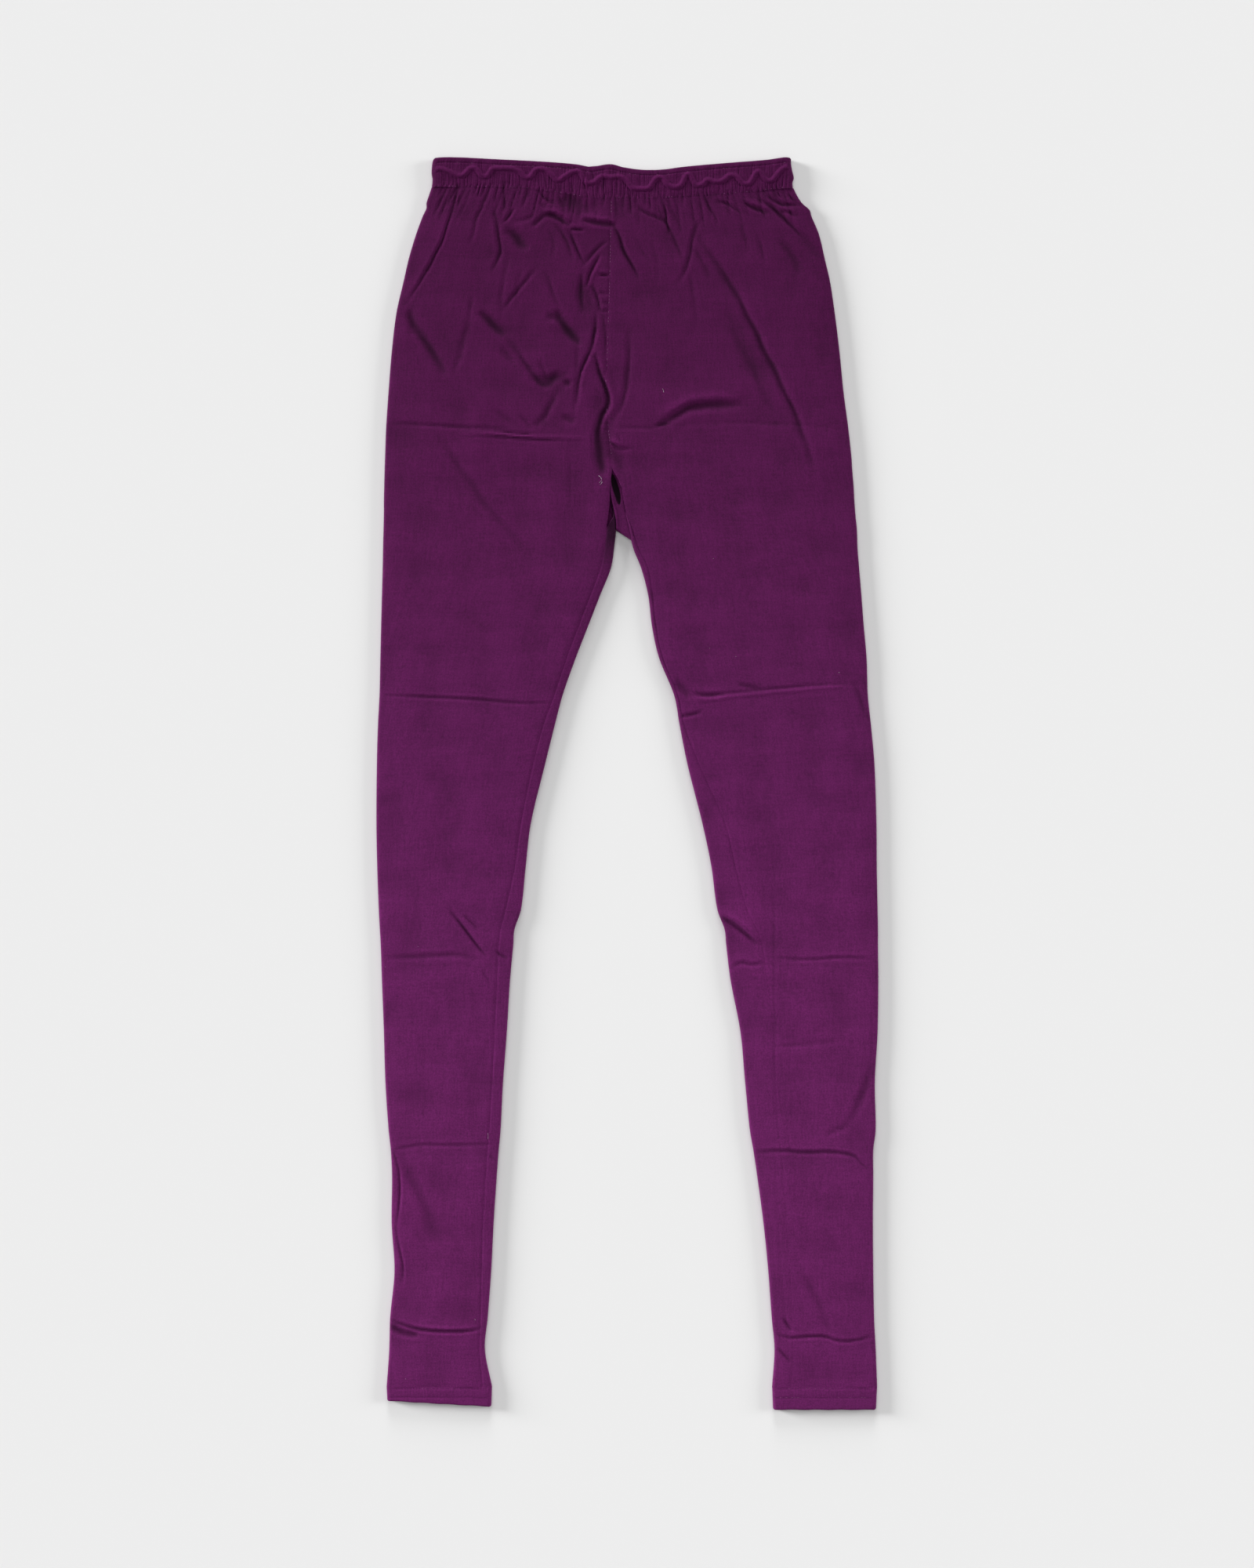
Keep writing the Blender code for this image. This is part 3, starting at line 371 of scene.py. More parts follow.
# Creases left by folding for the packet, and those at the knees and ankles
LEG_CREASES = [Crease(*row) for row in (
    (((-200, 220), (-162, 222), (-130, 224), (-96, 225)), 1.4, 0.8),
    (((-142, 229), (-106, 229), (-78, 232), (-53, 232), (-27, 233)), 1.3, -0.8),
    (((-110, 227), (-92, 229), (-78, 230)), 1.1, 0.9),
    (((-120, 231), (-78, 234), (-50, 234)), 1.2, 0.7),
    (((-12, 224), (27, 224)), 1.4, 0.5),
    (((27, 224), (58, 220), (120, 220), (185, 225)), 1.4, 0.3),
    (((-208, 445), (-160, 447), (-119, 449), (-92, 452), (-62, 452)), 1.3, 0.8, 0.3),
    (((40, 433), (52, 448)), 3.2, 1.2),
    (((54, 444), (68, 446), (82, 444)), 1.8, 1.1, -0.4),
    (((92, 437), (112, 440)), 1.8, 0.8),
    (((55, 450), (110, 444), (168, 439), (188, 436)), 1.5, -0.4),
    (((52, 447), (110, 441), (168, 436), (200, 437)), 1.3, 0.6),
    (((42, 463), (52, 462), (63, 459)), 1.5, 1.0),
    (((188, 434), (196, 457), (200, 468)), 1.8, 0.8),
    (((-204, 663), (-174, 662), (-155, 661), (-140, 660), (-119, 666)), 2.2, 0.7),
    (((-147, 623), (-133, 640), (-125, 651), (-115, 663)), 1.6, 1.4, 0.4),
    (((-136, 627), (-122, 640)), 1.3, 0.9),
    (((-109, 658), (-98, 664)), 1.3, 1.0),
    (((-120, 673), (-112, 686)), 1.5, 0.7),
    (((73, 627), (86, 633), (96, 640), (109, 652)), 2.4, 1.5, 0.8),
    (((84, 671), (96, 666), (102, 669), (114, 667)), 1.6, 0.9),
    (((120, 662), (138, 664), (158, 664), (176, 662), (207, 664)), 1.4, 0.7, 0.3),
    (((116, 737), (150, 734), (176, 732)), 2.2, 0.4),
    (((-200, 822), (-185, 820), (-169, 817), (-152, 818), (-116, 817), (-104, 817)), 1.5, 0.6, 0.2),
    (((-196, 819), (-190, 832), (-188, 846), (-188, 863), (-191, 886)), 1.3, 1.1, 0.15),
    (((-192, 884), (-188, 905), (-185, 918), (-186, 932)), 1.3, 1.0, 0.15),
    (((-188, 824), (-176, 850), (-164, 875), (-157, 898)), 4.5, 0.8),
    (((103, 824), (129, 822), (146, 824), (170, 823), (188, 826), (194, 833), (204, 842)), 1.5, 1.1, 0.3),
    (((204, 749), (198, 770), (190, 788), (183, 801)), 3.2, 0.8),
    (((185, 800), (172, 806), (164, 809)), 1.7, 0.9),
    (((203, 707), (203, 756)), 1.3, 0.5),
    (((-198, 961), (-187, 966), (-174, 970), (-157, 972), (-131, 972), (-120, 969)), 1.4, 1.7, 0.25),
    (((-197, 966), (-187, 973), (-176, 975), (-172, 975)), 2.2, 2.2),
    (((120, 969), (130, 978), (151, 976), (165, 976), (174, 980), (188, 980), (207, 975)), 1.3, 1.1, 0.15),
    (((129, 961), (137, 972)), 1.6, 1.1),
    (((124, 985), (136, 998)), 1.6, 1.1),
    (((136, 907), (155, 940), (170, 974)), 3.0, 0.6),
    (((122, 558), (122, 649), (123, 779)), 1.3, 0.2),
    (((123, 779), (124, 876), (136, 1014)), 1.3, 0.15),
    (((-114, 826), (-109, 831)), 1.3, 0.6),
)]

# The creases of the lower legs are pressed flatter than those of the hips, and
# the grooves of the back flatter still
LEG_SHARE = 0.76
HIP_SHARE = 0.84
BACK_SHARE = 0.6

# How often the corners of a crease's path are cut, how bluntly the crease ends,
# how high its rims stand, and how many of its widths it reaches
CORNER_CUTS = 1
CREASE_TAPER = 0.75
CREASE_RIM = 0.16
CREASE_REACH = 9.0

# Range of the gathers' lengths, widths, depths and steps below the casing
GATHER_LENGTH = (7.0, 34.0)
GATHER_WIDTH = (0.7, 1.3)
GATHER_DEPTH = (0.25, 0.8)
GATHER_STEP = (2.4, 5.4)

# Length and height of the cloth's broad and fine swells
BROAD_SWELL = (46.0, 0.16)
FINE_SWELL = (13.0, 0.05)
CASING_SWELL = (9.0, 0.1)
WAVES = 9

# How far a hip crease wanders from its path, and over what length
WANDER = 0.4
WANDER_LENGTH = 24.0

# Rows of the fine cloth: from each height, the step to the next row
RowZone = namedtuple("RowZone", "down step")
ROW_ZONES = [RowZone(*row) for row in (
    (25.24, 1.55), (257.4, 2.6), (436.0, 1.1), (470.0, 2.8), (622.0, 1.3), (688.0, 2.8),
    (728.0, 1.4), (742.0, 2.8), (812.0, 1.2), (845.0, 2.8), (955.0, 1.1), (985.0, 1.8),
)]

# Last row of a leg, and the step between the rows of its plain inside
LEG_END = 1017.87
PLAIN_STEP = 8.0

# The back lies flat until the wrap begins, and over the front once it is past this
WRAP_BEGUN = 0.35
WRAP_OVER = 0.75

# Columns of each stretch of a leg's section, on the creased face and the plain inside
Columns = namedtuple("Columns", "front turn back rest")
FACE_COLUMNS = Columns(112, 7, 18, 26)
PLAIN_COLUMNS = Columns(16, 3, 7, 8)
CASING_COLUMNS = Columns(330, 7, 60, 0)
CASING_PLAIN = Columns(16, 3, 8, 0)

# Where each stretch starts and ends along the section
PLACES = (0.0, 0.4, 0.5, 0.85, 1.0)

# Rows of the casing between its edges, closer at the rounded top edge
CASING_LEVELS = np.concatenate([(0.0, 0.006, 0.018, 0.036), np.linspace(0.06, 1.0, 64)])
CASING_PLAIN_LEVELS = np.array([0.0, 0.04, 0.25, 0.5, 0.75, 1.0])

# Bottom edge of each hem, and its side edges there
HemEdge = namedtuple("HemEdge", "outer inner down_outer down_inner")
HEM_START = 1017.9
HEM_STITCHES = (1019.1, 1026.6)
RIGHT_HEM = HemEdge(-198.6, -112.4, 1029.4, 1034.2)
LEFT_HEM = HemEdge(206.3, 121.0, 1036.8, 1036.8)

# Columns across a hem's front, on its face and its plain inside, and round a fold
HEM_COLUMNS = 90
HEM_PLAIN = 15
HEM_TURN = 6

# From this share of its depth the hem's bottom edge is rounded
HEM_CORNER = 0.88

# The gusset's front ply, from its point to the fold, then its back ply
GussetRow = namedtuple("GussetRow", "down left right")
GUSSET_FRONT = [GussetRow(*row) for row in (
    (258.4, -12.4, -12.0),
    (271.7, -13.8, -5.1),
    (284.7, -12.4, -3.1),
    (294.4, -9.7, -1.6),
    (307.4, -8.7, 1.4),
)]
GUSSET_BACK = [GussetRow(*row) for row in (
    (307.4, -8.7, 1.2),
    (294.4, -9.7, -2.4),
    (284.7, -11.3, -5.1),
    (273.0, -12.0, -9.5),
    (262.0, -12.6, -12.1),
)]
GUSSET_FOLD = GussetRow(308.8, -9.0, 3.6)
GUSSET_SLANT = 8.2

# Columns and rows of the gusset's front ply, and rows round its fold
GussetCounts = namedtuple("GussetCounts", "columns front fold")
GUSSET_FACE = GussetCounts(15, 40, 11)
GUSSET_PLAIN = GussetCounts(4, 8, 3)

# Middle line of the hollow where the seam gapes, how much painted shade darkens it, and its raised rim,
# which painted light brightens
POCKET = ((-12.4, 262.0), (-10.2, 271.0), (-7.6, 280.0), (-6.4, 287.5))
POCKET_SHADE = 3.0
RIM_RISE = 0.8


def scene_cloth():
    """The cloth's settings in the open scene."""
    return bpy.context.scene.churidar_cloth


def curve(points, places):
    """Reads a smooth curve through (place, value) points, at any places."""
    at, value = np.array(points, float).T
    places = np.clip(places, at[0], at[-1])
    index = np.clip(np.searchsorted(at, places, side="right") - 1, 0, len(at) - 2)
    slope = np.gradient(value, at)
    slope[1:-1] = (value[2:] - value[:-2]) / (at[2:] - at[:-2])
    span = at[index + 1] - at[index]
    share = (places - at[index]) / span
    square, cube = share ** 2, share ** 3
    return (
        value[index] * (2 * cube - 3 * square + 1)
        + value[index + 1] * (3 * square - 2 * cube)
        + span * slope[index] * (cube - 2 * square + share)
        + span * slope[index + 1] * (cube - square)
    )


def outline(leg, down):
    """Side fold, front edge, back edge and wrap of a leg at each height."""
    columns = [[(row.down, row[index]) for row in leg] for index in range(1, 5)]
    outer, seam, inner, wrap = (curve(column, down) for column in columns)
    return outer, seam, inner, np.clip(wrap, 0.0, 1.0)


def inward_of(leg):
    """Direction from a leg's side fold to the middle of the garment."""
    return 1.0 if leg[0].outer < 0.0 else -1.0


def measure_path(path, x, down):
    """How far points lie from a path, positive on its left, and how far along it."""
    nearest = np.full(x.shape, np.inf)
    signed = np.zeros(x.shape)
    along = np.zeros(x.shape)
    lengths = [hypot(b[0] - a[0], b[1] - a[1]) for a, b in zip(path, path[1:])]
    passed = 0.0
    for (ax, ad), (bx, bd), length in zip(path, path[1:], lengths):
        run_x, run_down = (bx - ax) / length, (bd - ad) / length
        step = np.clip((x - ax) * run_x + (down - ad) * run_down, 0.0, length)
        off_x, off_down = x - ax - step * run_x, down - ad - step * run_down
        away = np.hypot(off_x, off_down)
        closer = away < nearest
        left = np.sign(run_down * off_x - run_x * off_down)
        nearest = np.where(closer, away, nearest)
        signed = np.where(closer, away * left, signed)
        along = np.where(closer, passed + step, along)
        passed += length
    return signed, along / passed


def rounded(path):
    """A path with its corners cut, so that a crease bends softly."""
    for _ in range(CORNER_CUTS if len(path) > 2 else 0):
        cut = [path[0]]
        for (ax, ad), (bx, bd) in zip(path, path[1:]):
            cut.append((0.75 * ax + 0.25 * bx, 0.75 * ad + 0.25 * bd))
            cut.append((0.25 * ax + 0.75 * bx, 0.25 * ad + 0.75 * bd))
        path = cut[:1] + cut[2:-1] + [path[-1]]
    return path


def crease_height(crease, x, down):
    """Height that one crease adds to the cloth."""
    signed, along = measure_path(rounded(crease.path), x, down)
    across = signed / crease.width
    taper = np.clip(4.0 * along * (1.0 - along), 0.0, 1.0) ** CREASE_TAPER
    rim = CREASE_RIM * np.exp(-(np.abs(across) - 1.9) ** 2)
    side = across * (1.0 if crease.lip >= 0.0 else -1.0)
    lifted = 0.6 * np.exp(-((side - 1.6) / 1.1) ** 2) + 0.4 * np.exp(-((side - 1.8) / 4.0) ** 2)
    rise = rim + abs(crease.lip) * lifted * (side > 0.0) * np.minimum(side, 1.0)
    return crease.depth * taper * (rise - np.exp(-across ** 2))


def add_creases(creases, x, down):
    """Height of all the creases at each point."""
    x, down = np.broadcast_arrays(x, down)
    height = np.zeros(x.shape)
    for crease in creases:
        reach = crease.width * CREASE_REACH
        near = (x > min(p[0] for p in crease.path) - reach)
        near &= x < max(p[0] for p in crease.path) + reach
        near &= down > min(p[1] for p in crease.path) - reach
        near &= down < max(p[1] for p in crease.path) + reach
        if near.any():
            height[near] += crease_height(crease, x[near], down[near])
    return height


def make_gathers(seed, start, end):
    """Short uneven gathers that fan out below the casing."""
    draw = np.random.default_rng(seed)
    creases = []
    x = start
    while x < end:
        top = float(curve(WAIST_BOTTOM, x))
        length = draw.uniform(*GATHER_LENGTH)
        fan = x / 150.0 * 0.45 + draw.normal(0.0, 0.08)
        bend = draw.normal(0.0, 0.8)
        path = (
            (x - 4.0 * fan, top - 4.0),
            (x + 0.5 * length * fan + bend, top + 0.5 * length),
            (x + length * fan, top + length),
        )
        creases.append(Crease(path, draw.uniform(*GATHER_WIDTH), draw.uniform(*GATHER_DEPTH)))
        x += draw.uniform(*GATHER_STEP)
    return creases


def soft_waves(seed, x, down, length, height):
    """A low uneven swell of the cloth."""
    draw = np.random.default_rng(seed)
    total = np.zeros(x.shape)
    for _ in range(WAVES):
        angle = draw.uniform(0.0, pi)
        wave = 2.0 * pi / (length * draw.uniform(0.6, 1.8))
        phase = draw.uniform(0.0, 2.0 * pi)
        total += np.sin(wave * (x * cos(angle) + down * sin(angle)) + phase)
    return height * total / 3.0


GATHERS = make_gathers(11, -158.0, -18.0) + make_gathers(12, -10.0, 136.0)


def front_relief(x, down):
    """Creases, gathers and swell of the garment's front."""
    depth = scene_cloth().crease_depth
    x, down = np.broadcast_arrays(x, down)
    astray_x = x + soft_waves(31, x, down, WANDER_LENGTH, WANDER)
    astray_down = down + soft_waves(32, x, down, WANDER_LENGTH, WANDER)
    relief = HIP_SHARE * add_creases(HIP_CREASES, astray_x, astray_down)
    relief += add_creases(GATHERS, x, down) + LEG_SHARE * add_creases(LEG_CREASES, x, down)
    relief += soft_waves(3, x, down, *BROAD_SWELL) + soft_waves(4, x, down, *FINE_SWELL)
    relief *= depth
    return np.where(relief < 0.0, DEEPEST * np.tanh(relief / DEEPEST), relief)


def back_relief(x, down):
    """Grooves of the back, which rests flat: like the front's, only shallower."""
    relief = BACK_SHARE * add_creases(LEG_CREASES + GATHERS, -x, down)
    return np.clip(-relief, 0.0, 0.5 * CLOTH)


def front_form(leg, across, down):
    """Height of a leg's front without its creases, across from the side fold."""
    outer, _, inner, wrap = outline(leg, down)
    radius = FOLD_THICKNESS / 2.0
    crown = curve(CROWN, down)
    rise = 1.0 - np.exp(-np.maximum(across - radius, 0.0) / ROLL)
    far = np.abs(inner - outer) - radius - across
    inner_rise = 1.0 - np.exp(-np.maximum(far, 0.0) / ROLL)
    return FOLD_THICKNESS + crown * rise * (1.0 - wrap * (1.0 - inner_rise))


def leg_front_height(leg, x, down):
    """Height of a leg's creased front at any point."""
    outer = outline(leg, down)[0]
    across = (x - outer) * inward_of(leg)
    return front_form(leg, across, down) + front_relief(x, down) * edge_fade(across)


def edge_fade(away):
    """Creases die away towards a fold."""
    return 1.0 - np.exp(-np.maximum(away, 0.0) / EDGE_FADE)


def seam_dip(away):
    """The cloth dips into a seam."""
    return -SEAM_DEPTH * np.exp(-(away / SEAM_WIDTH) ** 2)


def waist_dip(edge_down, down):
    """How much lower than a level line a row near the waist lies."""
    fade = np.clip(1.0 - (down - CASING_END - SEAM_GAP) / DIP_REACH, 0.0, 1.0)
    return (edge_down - CASING_END) * fade


def back_casing_edge(leg, x):
    """Sewn edge of the casing on the back, straight from side to centre."""
    side, centre = leg[0].outer, leg[0].seam
    side_down = float(curve(WAIST_BOTTOM, side))
    centre_down = float(curve(WAIST_BOTTOM, centre))
    return side_down + (centre_down - side_down) * (x - side) / (centre - side)


def column_places(columns):
    """Where each column lies along the section, from 0 to 1."""
    parts = [np.array([0.0])]
    for count, start, end in zip(columns, PLACES, PLACES[1:]):
        if count:
            parts.append(start + (end - start) * np.arange(1, count + 1) / count)
    return np.concatenate(parts)


def half_turn(count, start=90.0):
    """Angles of the points round a fold, from its start in degrees."""
    return np.radians(start + 180.0 * np.arange(1, count + 1) / count)[None, :]


def join_points(x, down, height):
    """Points of the garment from their three values."""
    return np.stack(np.broadcast_arrays(x, down, height), axis=-1)


def leg_grid(leg, downs, columns, plain):
    """Points of a leg's cloth, row by row: front, side fold, back, inner fold."""
    outer, seam, inner, wrap = (value[:, None] for value in outline(leg, downs))
    rows = downs[:, None]
    inward = inward_of(leg)
    radius = FOLD_THICKNESS / 2.0
    width = np.abs(inner - outer)
    edge = np.abs(seam - outer) - SEAM_GAP / 2.0
    cloth = CLOTH if plain else 0.0

    def place(across, height, casing_edge):
        x = outer + inward * across
        return join_points(x, rows + waist_dip(casing_edge(x), rows), height)

    def front_edge(x):
        return curve(WAIST_BOTTOM, x)

    def back_edge(x):
        return back_casing_edge(leg, x)

    def front_height(across, away):
        form = front_form(leg, across, rows)
        if plain:
            return form - PLAIN_INSIDE
        x = outer + inward * across
        down = rows + waist_dip(front_edge(x), rows)
        dip = seam_dip(np.abs(across - edge))
        if leg is LEFT_LEG:
            dip = dip * np.clip((LEFT_SEAM_FLAT - rows) / 60.0, 0.3, 1.0)
        return form + front_relief(x, down) * edge_fade(away) + dip

    share = np.linspace(0.0, 1.0, columns.front + 1)[None, :]
    across = edge + (radius - edge) * share
    front = place(across, front_height(across, across - radius), front_edge)
    if plain:
        front[:, -1, 2] = FOLD_THICKNESS - cloth

    angle = half_turn(columns.turn)
    reach = radius - cloth
    turn = place(radius + reach * np.cos(angle), radius + reach * np.sin(angle) + 0 * rows, front_edge)

    started = np.minimum(wrap / WRAP_BEGUN, 1.0)
    over = np.clip((wrap - WRAP_OVER) / (1.0 - WRAP_OVER), 0.0, 1.0)
    flat_end = width - SEAM_GAP / 2.0 - (radius - SEAM_GAP / 2.0) * started
    sweep = pi * wrap
    strip = np.maximum(width - radius - edge - SEAM_GAP, 0.0) * over
    total = flat_end - radius + radius * sweep + strip
    rest = np.maximum(radius * sweep + strip + 0.5, 9.0)
    steps = np.concatenate([
        (total - rest) * np.arange(1, columns.back + 1) / columns.back,
        total - rest + rest * np.arange(1, columns.rest + 1) / columns.rest,
    ], axis=1)
    flat = flat_end - radius
    turned = np.clip((steps - flat) / radius, 0.0, sweep)
    beyond = np.maximum(steps - flat - radius * sweep, 0.0)
    run = radius + np.minimum(steps, flat) + reach * np.sin(turned) + beyond * np.cos(turned)
    height = radius - reach * np.cos(turned) + beyond * np.sin(turned)
    lifted = np.clip(beyond, 0.0, 1.0) * over
    on_top = front_height(run, beyond) - (FOLD_THICKNESS - cloth)
    height = height + np.where(lifted > 0.0, on_top * lifted, 0.0)
    if not plain:
        under = back_relief(outer + inward * run, rows) * np.clip((flat - steps) / 4.0, 0.0, 1.0)
        height = height + np.where(turned > 0.0, 0.0, under)
    back = place(run, height, back_edge)
    back_part = back[:, :columns.back]
    rest_part = place(run, height, front_edge)[:, columns.back:]
    hip = (wrap <= 0.0)[:, :, None]
    rest_part = np.where(hip, back[:, columns.back:], rest_part)
    return np.concatenate([front, turn, back_part, rest_part], axis=1)


def bridge(first, second):
    """Triangles between two lines of (place, vertex) whose places differ."""
    faces = []
    here = there = 0
    while here < len(first) - 1 or there < len(second) - 1:
        ended = there == len(second) - 1
        if ended or (here < len(first) - 1 and first[here + 1][0] <= second[there + 1][0]):
            faces.append((first[here][1], first[here + 1][1], second[there][1]))
            here += 1
        else:
            faces.append((first[here][1], second[there + 1][1], second[there][1]))
            there += 1
    return faces


def grid_faces(rows, columns, start, closed):
    """Quads of a grid whose vertices are numbered row by row."""
    index = start + np.arange(rows * columns).reshape(rows, columns)
    if closed:
        index = np.concatenate([index, index[:, :1]], axis=1)
    quads = np.stack([index[:-1, :-1], index[:-1, 1:], index[1:, 1:], index[1:, :-1]], axis=-1)
    return quads.reshape(-1, 4).tolist()


def to_world(points):
    """Garment millimetres to the frame, placed by the solids' box."""
    left = CAD_BOX[0][0] - min(row.outer for row in RIGHT_LEG) * MM
    top = CAD_BOX[1][1]
    flat = np.asarray(points, float).reshape(-1, 3) * MM
    return np.stack([left + flat[:, 0], top - flat[:, 1], flat[:, 2]], axis=1)


# Edges between faces that meet more sharply than this stay sharp, in degrees
SMOOTH_ANGLE = 50.0


def make_piece(name, points, faces, material):
    """One mesh piece from garment points and faces."""
    data = bpy.data.meshes.new(name)
    data.from_pydata(to_world(points).tolist(), [], faces)
    mesh = bmesh.new()
    mesh.from_mesh(data)
    bmesh.ops.recalc_face_normals(mesh, faces=mesh.faces[:])
    mesh.to_mesh(data)
    mesh.free()
    data.shade_smooth()
    data.set_sharp_from_angle(angle=radians(SMOOTH_ANGLE))
    data.materials.append(material)
    piece = bpy.data.objects.new(name, data)
    bpy.context.scene.collection.objects.link(piece)
    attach(piece, "root")
    return piece


def add_values(piece, name, values, kind):
    """Stores a value for each vertex, for the materials to read."""
    attribute = piece.data.attributes.new(name, kind, "POINT")
    field = "vector" if kind == "FLOAT_VECTOR" else "value"
    attribute.data.foreach_set(field, np.asarray(values, np.float32).ravel())


def finish_cloth(piece, grain, relief, node):
    """Stores what the jersey reads, and puts the piece in its solid's place."""
    add_values(piece, "grain", grain, "FLOAT_VECTOR")
    add_values(piece, "relief", relief, "FLOAT")
    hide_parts(node)
    return piece


def make_shell(name, face, plain, face_lines, plain_lines, material, closed=False):
    """A closed shell of cloth from its face and its plain inside.

    The lines of each say where its rows and its columns lie, to join their edges.
    """
    points = np.concatenate([face.reshape(-1, 3), plain.reshape(-1, 3)])
    start = face.shape[0] * face.shape[1]
    faces = grid_faces(face.shape[0], face.shape[1], 0, closed)
    faces += grid_faces(plain.shape[0], plain.shape[1], start, closed)

    def line(grid, offset, row=None, column=None):
        rows, columns = grid.shape[:2]
        levels, places = face_lines if offset == 0 else plain_lines
        if row is not None:
            row = row % rows
            indices = [offset + row * columns + step for step in range(columns)]
            pairs = list(zip(places, indices))
            return pairs + [(1.0, indices[0])] if closed else pairs
        column = column % columns
        return list(zip(levels, [offset + step * columns + column for step in range(rows)]))

    for row in (0, -1):
        faces += bridge(line(face, 0, row=row), line(plain, start, row=row))
    if not closed:
        for column in (0, -1):
            faces += bridge(line(face, 0, column=column), line(plain, start, column=column))
    return make_piece(name, points, faces, material), points


def leg_rows():
    """Heights of the fine rows of a leg."""
    rows = []
    for zone, following in zip(ROW_ZONES, ROW_ZONES[1:] + [RowZone(LEG_END, 0.0)]):
        count = max(1, round((following.down - zone.down) / zone.step))
        rows.append(np.linspace(zone.down, following.down, count, endpoint=False))
    return np.concatenate(rows + [np.array([LEG_END])])


def build_leg(name, leg, node, material):
    """One leg panel, wrapped round from the centre front to the centre back."""
    face_rows = leg_rows()
    count = round((LEG_END - face_rows[0]) / PLAIN_STEP)
    plain_rows = np.linspace(face_rows[0], LEG_END, count + 1)
    face = leg_grid(leg, face_rows, FACE_COLUMNS, False)
    plain = leg_grid(leg, plain_rows, PLAIN_COLUMNS, True)
    face_lines = face_rows, column_places(FACE_COLUMNS)
    plain_lines = plain_rows, column_places(PLAIN_COLUMNS)
    piece, points = make_shell(name, face, plain, face_lines, plain_lines, material)
    centre_rows = [(row.down, (row.outer + row.inner) / 2.0) for row in leg]
    grain = points * MM
    grain[:, 0] -= curve(centre_rows, points[:, 1]) * MM
    # The relief also carries painted shade: troughs darken the colour, raised cloth is lightened as
    # painted light, and the right leg's inner fold near the gusset gets painted shade
    front = front_relief(points[:, 0], points[:, 1])
    on_front = np.clip((points[:, 2] - FOLD_THICKNESS / 2.0) / 2.0, 0.0, 1.0)
    shaded = np.zeros(len(points))
    if leg is RIGHT_LEG:
        past_edge = np.clip((points[:, 0] - outline(leg, points[:, 1])[1]) / 0.8, 0.0, 1.0)
        shaded = 2.0 * past_edge * np.clip((SHADE_END - points[:, 1]) / 30.0, 0.0, 1.0)
        shaded *= (points[:, 1] > GUSSET_FRONT[0].down) & (points[:, 2] > CLOTH)
    return finish_cloth(piece, grain, front * on_front - shaded, node)


def cord_line():
    """Points along the middle of the cord."""
    xs = np.arange(CORD[0][0], CORD[-1][0] + 0.1, CORD_STEP)
    return [(float(x), float(down)) for x, down in zip(xs, curve(CORD, xs))]


def upper_stitch(x):
    """Height down the garment of the casing's upper row of sewing."""
    top = curve(WAIST_TOP, x) + UPPER_STITCH
    return np.minimum(top, curve(CORD, x) - STITCH_ABOVE_CORD)


Rib = namedtuple("Rib", "x top bottom depth slant")


def make_ribs(seed):
    """Grooves that the elastic's sewing pulls into the casing, in two bands."""
    draw = np.random.default_rng(seed)
    ribs = []
    x = RIBBED[0]
    while x < RIBBED[1]:
        top = float(curve(WAIST_TOP, x))
        bottom = float(curve(WAIST_BOTTOM, x))
        cord = float(curve(CORD, x))
        for start, end in ((top + 2.2, cord - 1.4), (cord + 1.8, bottom + 0.2)):
            if end - start > 2.0 and draw.random() < RIB_CHANCE:
                trim = draw.uniform(0.0, 0.35, 2) * (end - start)
                middle = x + draw.normal(0.0, 0.25)
                depth = draw.uniform(*RIB_DEPTH) * (LOWER_BAND if end > bottom else 1.0)
                slant = draw.normal(0.0, 0.06)
                ribs.append(Rib(middle, start + trim[0] * 0.6, end - trim[1] * 0.5, depth, slant))
        x += draw.uniform(*RIB_STEP)
    return ribs


RIBS = make_ribs(21)

# Puckers of the casing beside the centre front
CASING_CREASES = [Crease(*row) for row in (
    (((-36, 12), (-35, 27)), 1.0, 0.7, 0.3),
    (((-24, 21), (-24, 33)), 1.0, 0.6),
    (((-30, 9), (-27, 21)), 1.2, 0.5),
    (((-19, 9), (-20, 31)), 1.0, 0.5),
    (((-9, 11), (-8, 32)), 1.0, 0.5),
    (((-47, 20), (-45, 30)), 1.0, 0.5),
    (((-13.7, 5), (-13.7, 34)), 1.6, -0.35),
)]


def casing_height(x, down, share):
    """Height of the casing's front: ribs, cord, stitch grooves and puckers."""
    ribbed = np.zeros(x.shape)
    depth = scene_cloth().rib_depth
    for rib in RIBS:
        near = (np.abs(x - rib.x) < 2.4) & (down > rib.top - 2.0) & (down < rib.bottom + 2.0)
        if near.any():
            centre = rib.x + rib.slant * (down[near] - rib.top)
            ends = np.clip((down[near] - rib.top) / 1.2, -1.0, 1.0)
            ends = np.minimum(ends, np.clip((rib.bottom - down[near]) / 1.2, -1.0, 1.0))
            ends = 0.5 + 0.5 * ends
            ribbed[near] -= rib.depth * ends * np.exp(-((x[near] - centre) / 0.5) ** 2)
    signed, _ = measure_path(CORD_LINE, x, down)
    ridge = np.clip(1.0 - (signed / CORD_RADIUS) ** 2, 0.0, 1.0) ** 1.4
    under = np.exp(-((signed + CORD_RADIUS + 0.2) / 0.7) ** 2)
    height = CASING_THICKNESS + 0.25 + ribbed * depth * (1.0 - 0.55 * ridge)
    height += scene_cloth().cord_relief / MM * ridge - 0.16 * under
    upper = np.exp(-((down - upper_stitch(x)) / 0.6) ** 2)
    lower = np.exp(-((1.0 - share) * (curve(WAIST_BOTTOM, x) - curve(WAIST_TOP, x)) / 0.9) ** 2)
    height -= 0.3 * upper + 0.12 * lower
    height += front_relief(x, down) * np.clip(4.0 * share - 3.0, 0.0, 1.0)
    height += soft_waves(7, x, down, *CASING_SWELL)
    return height + add_creases(CASING_CREASES, x, down)


CORD_LINE = cord_line()


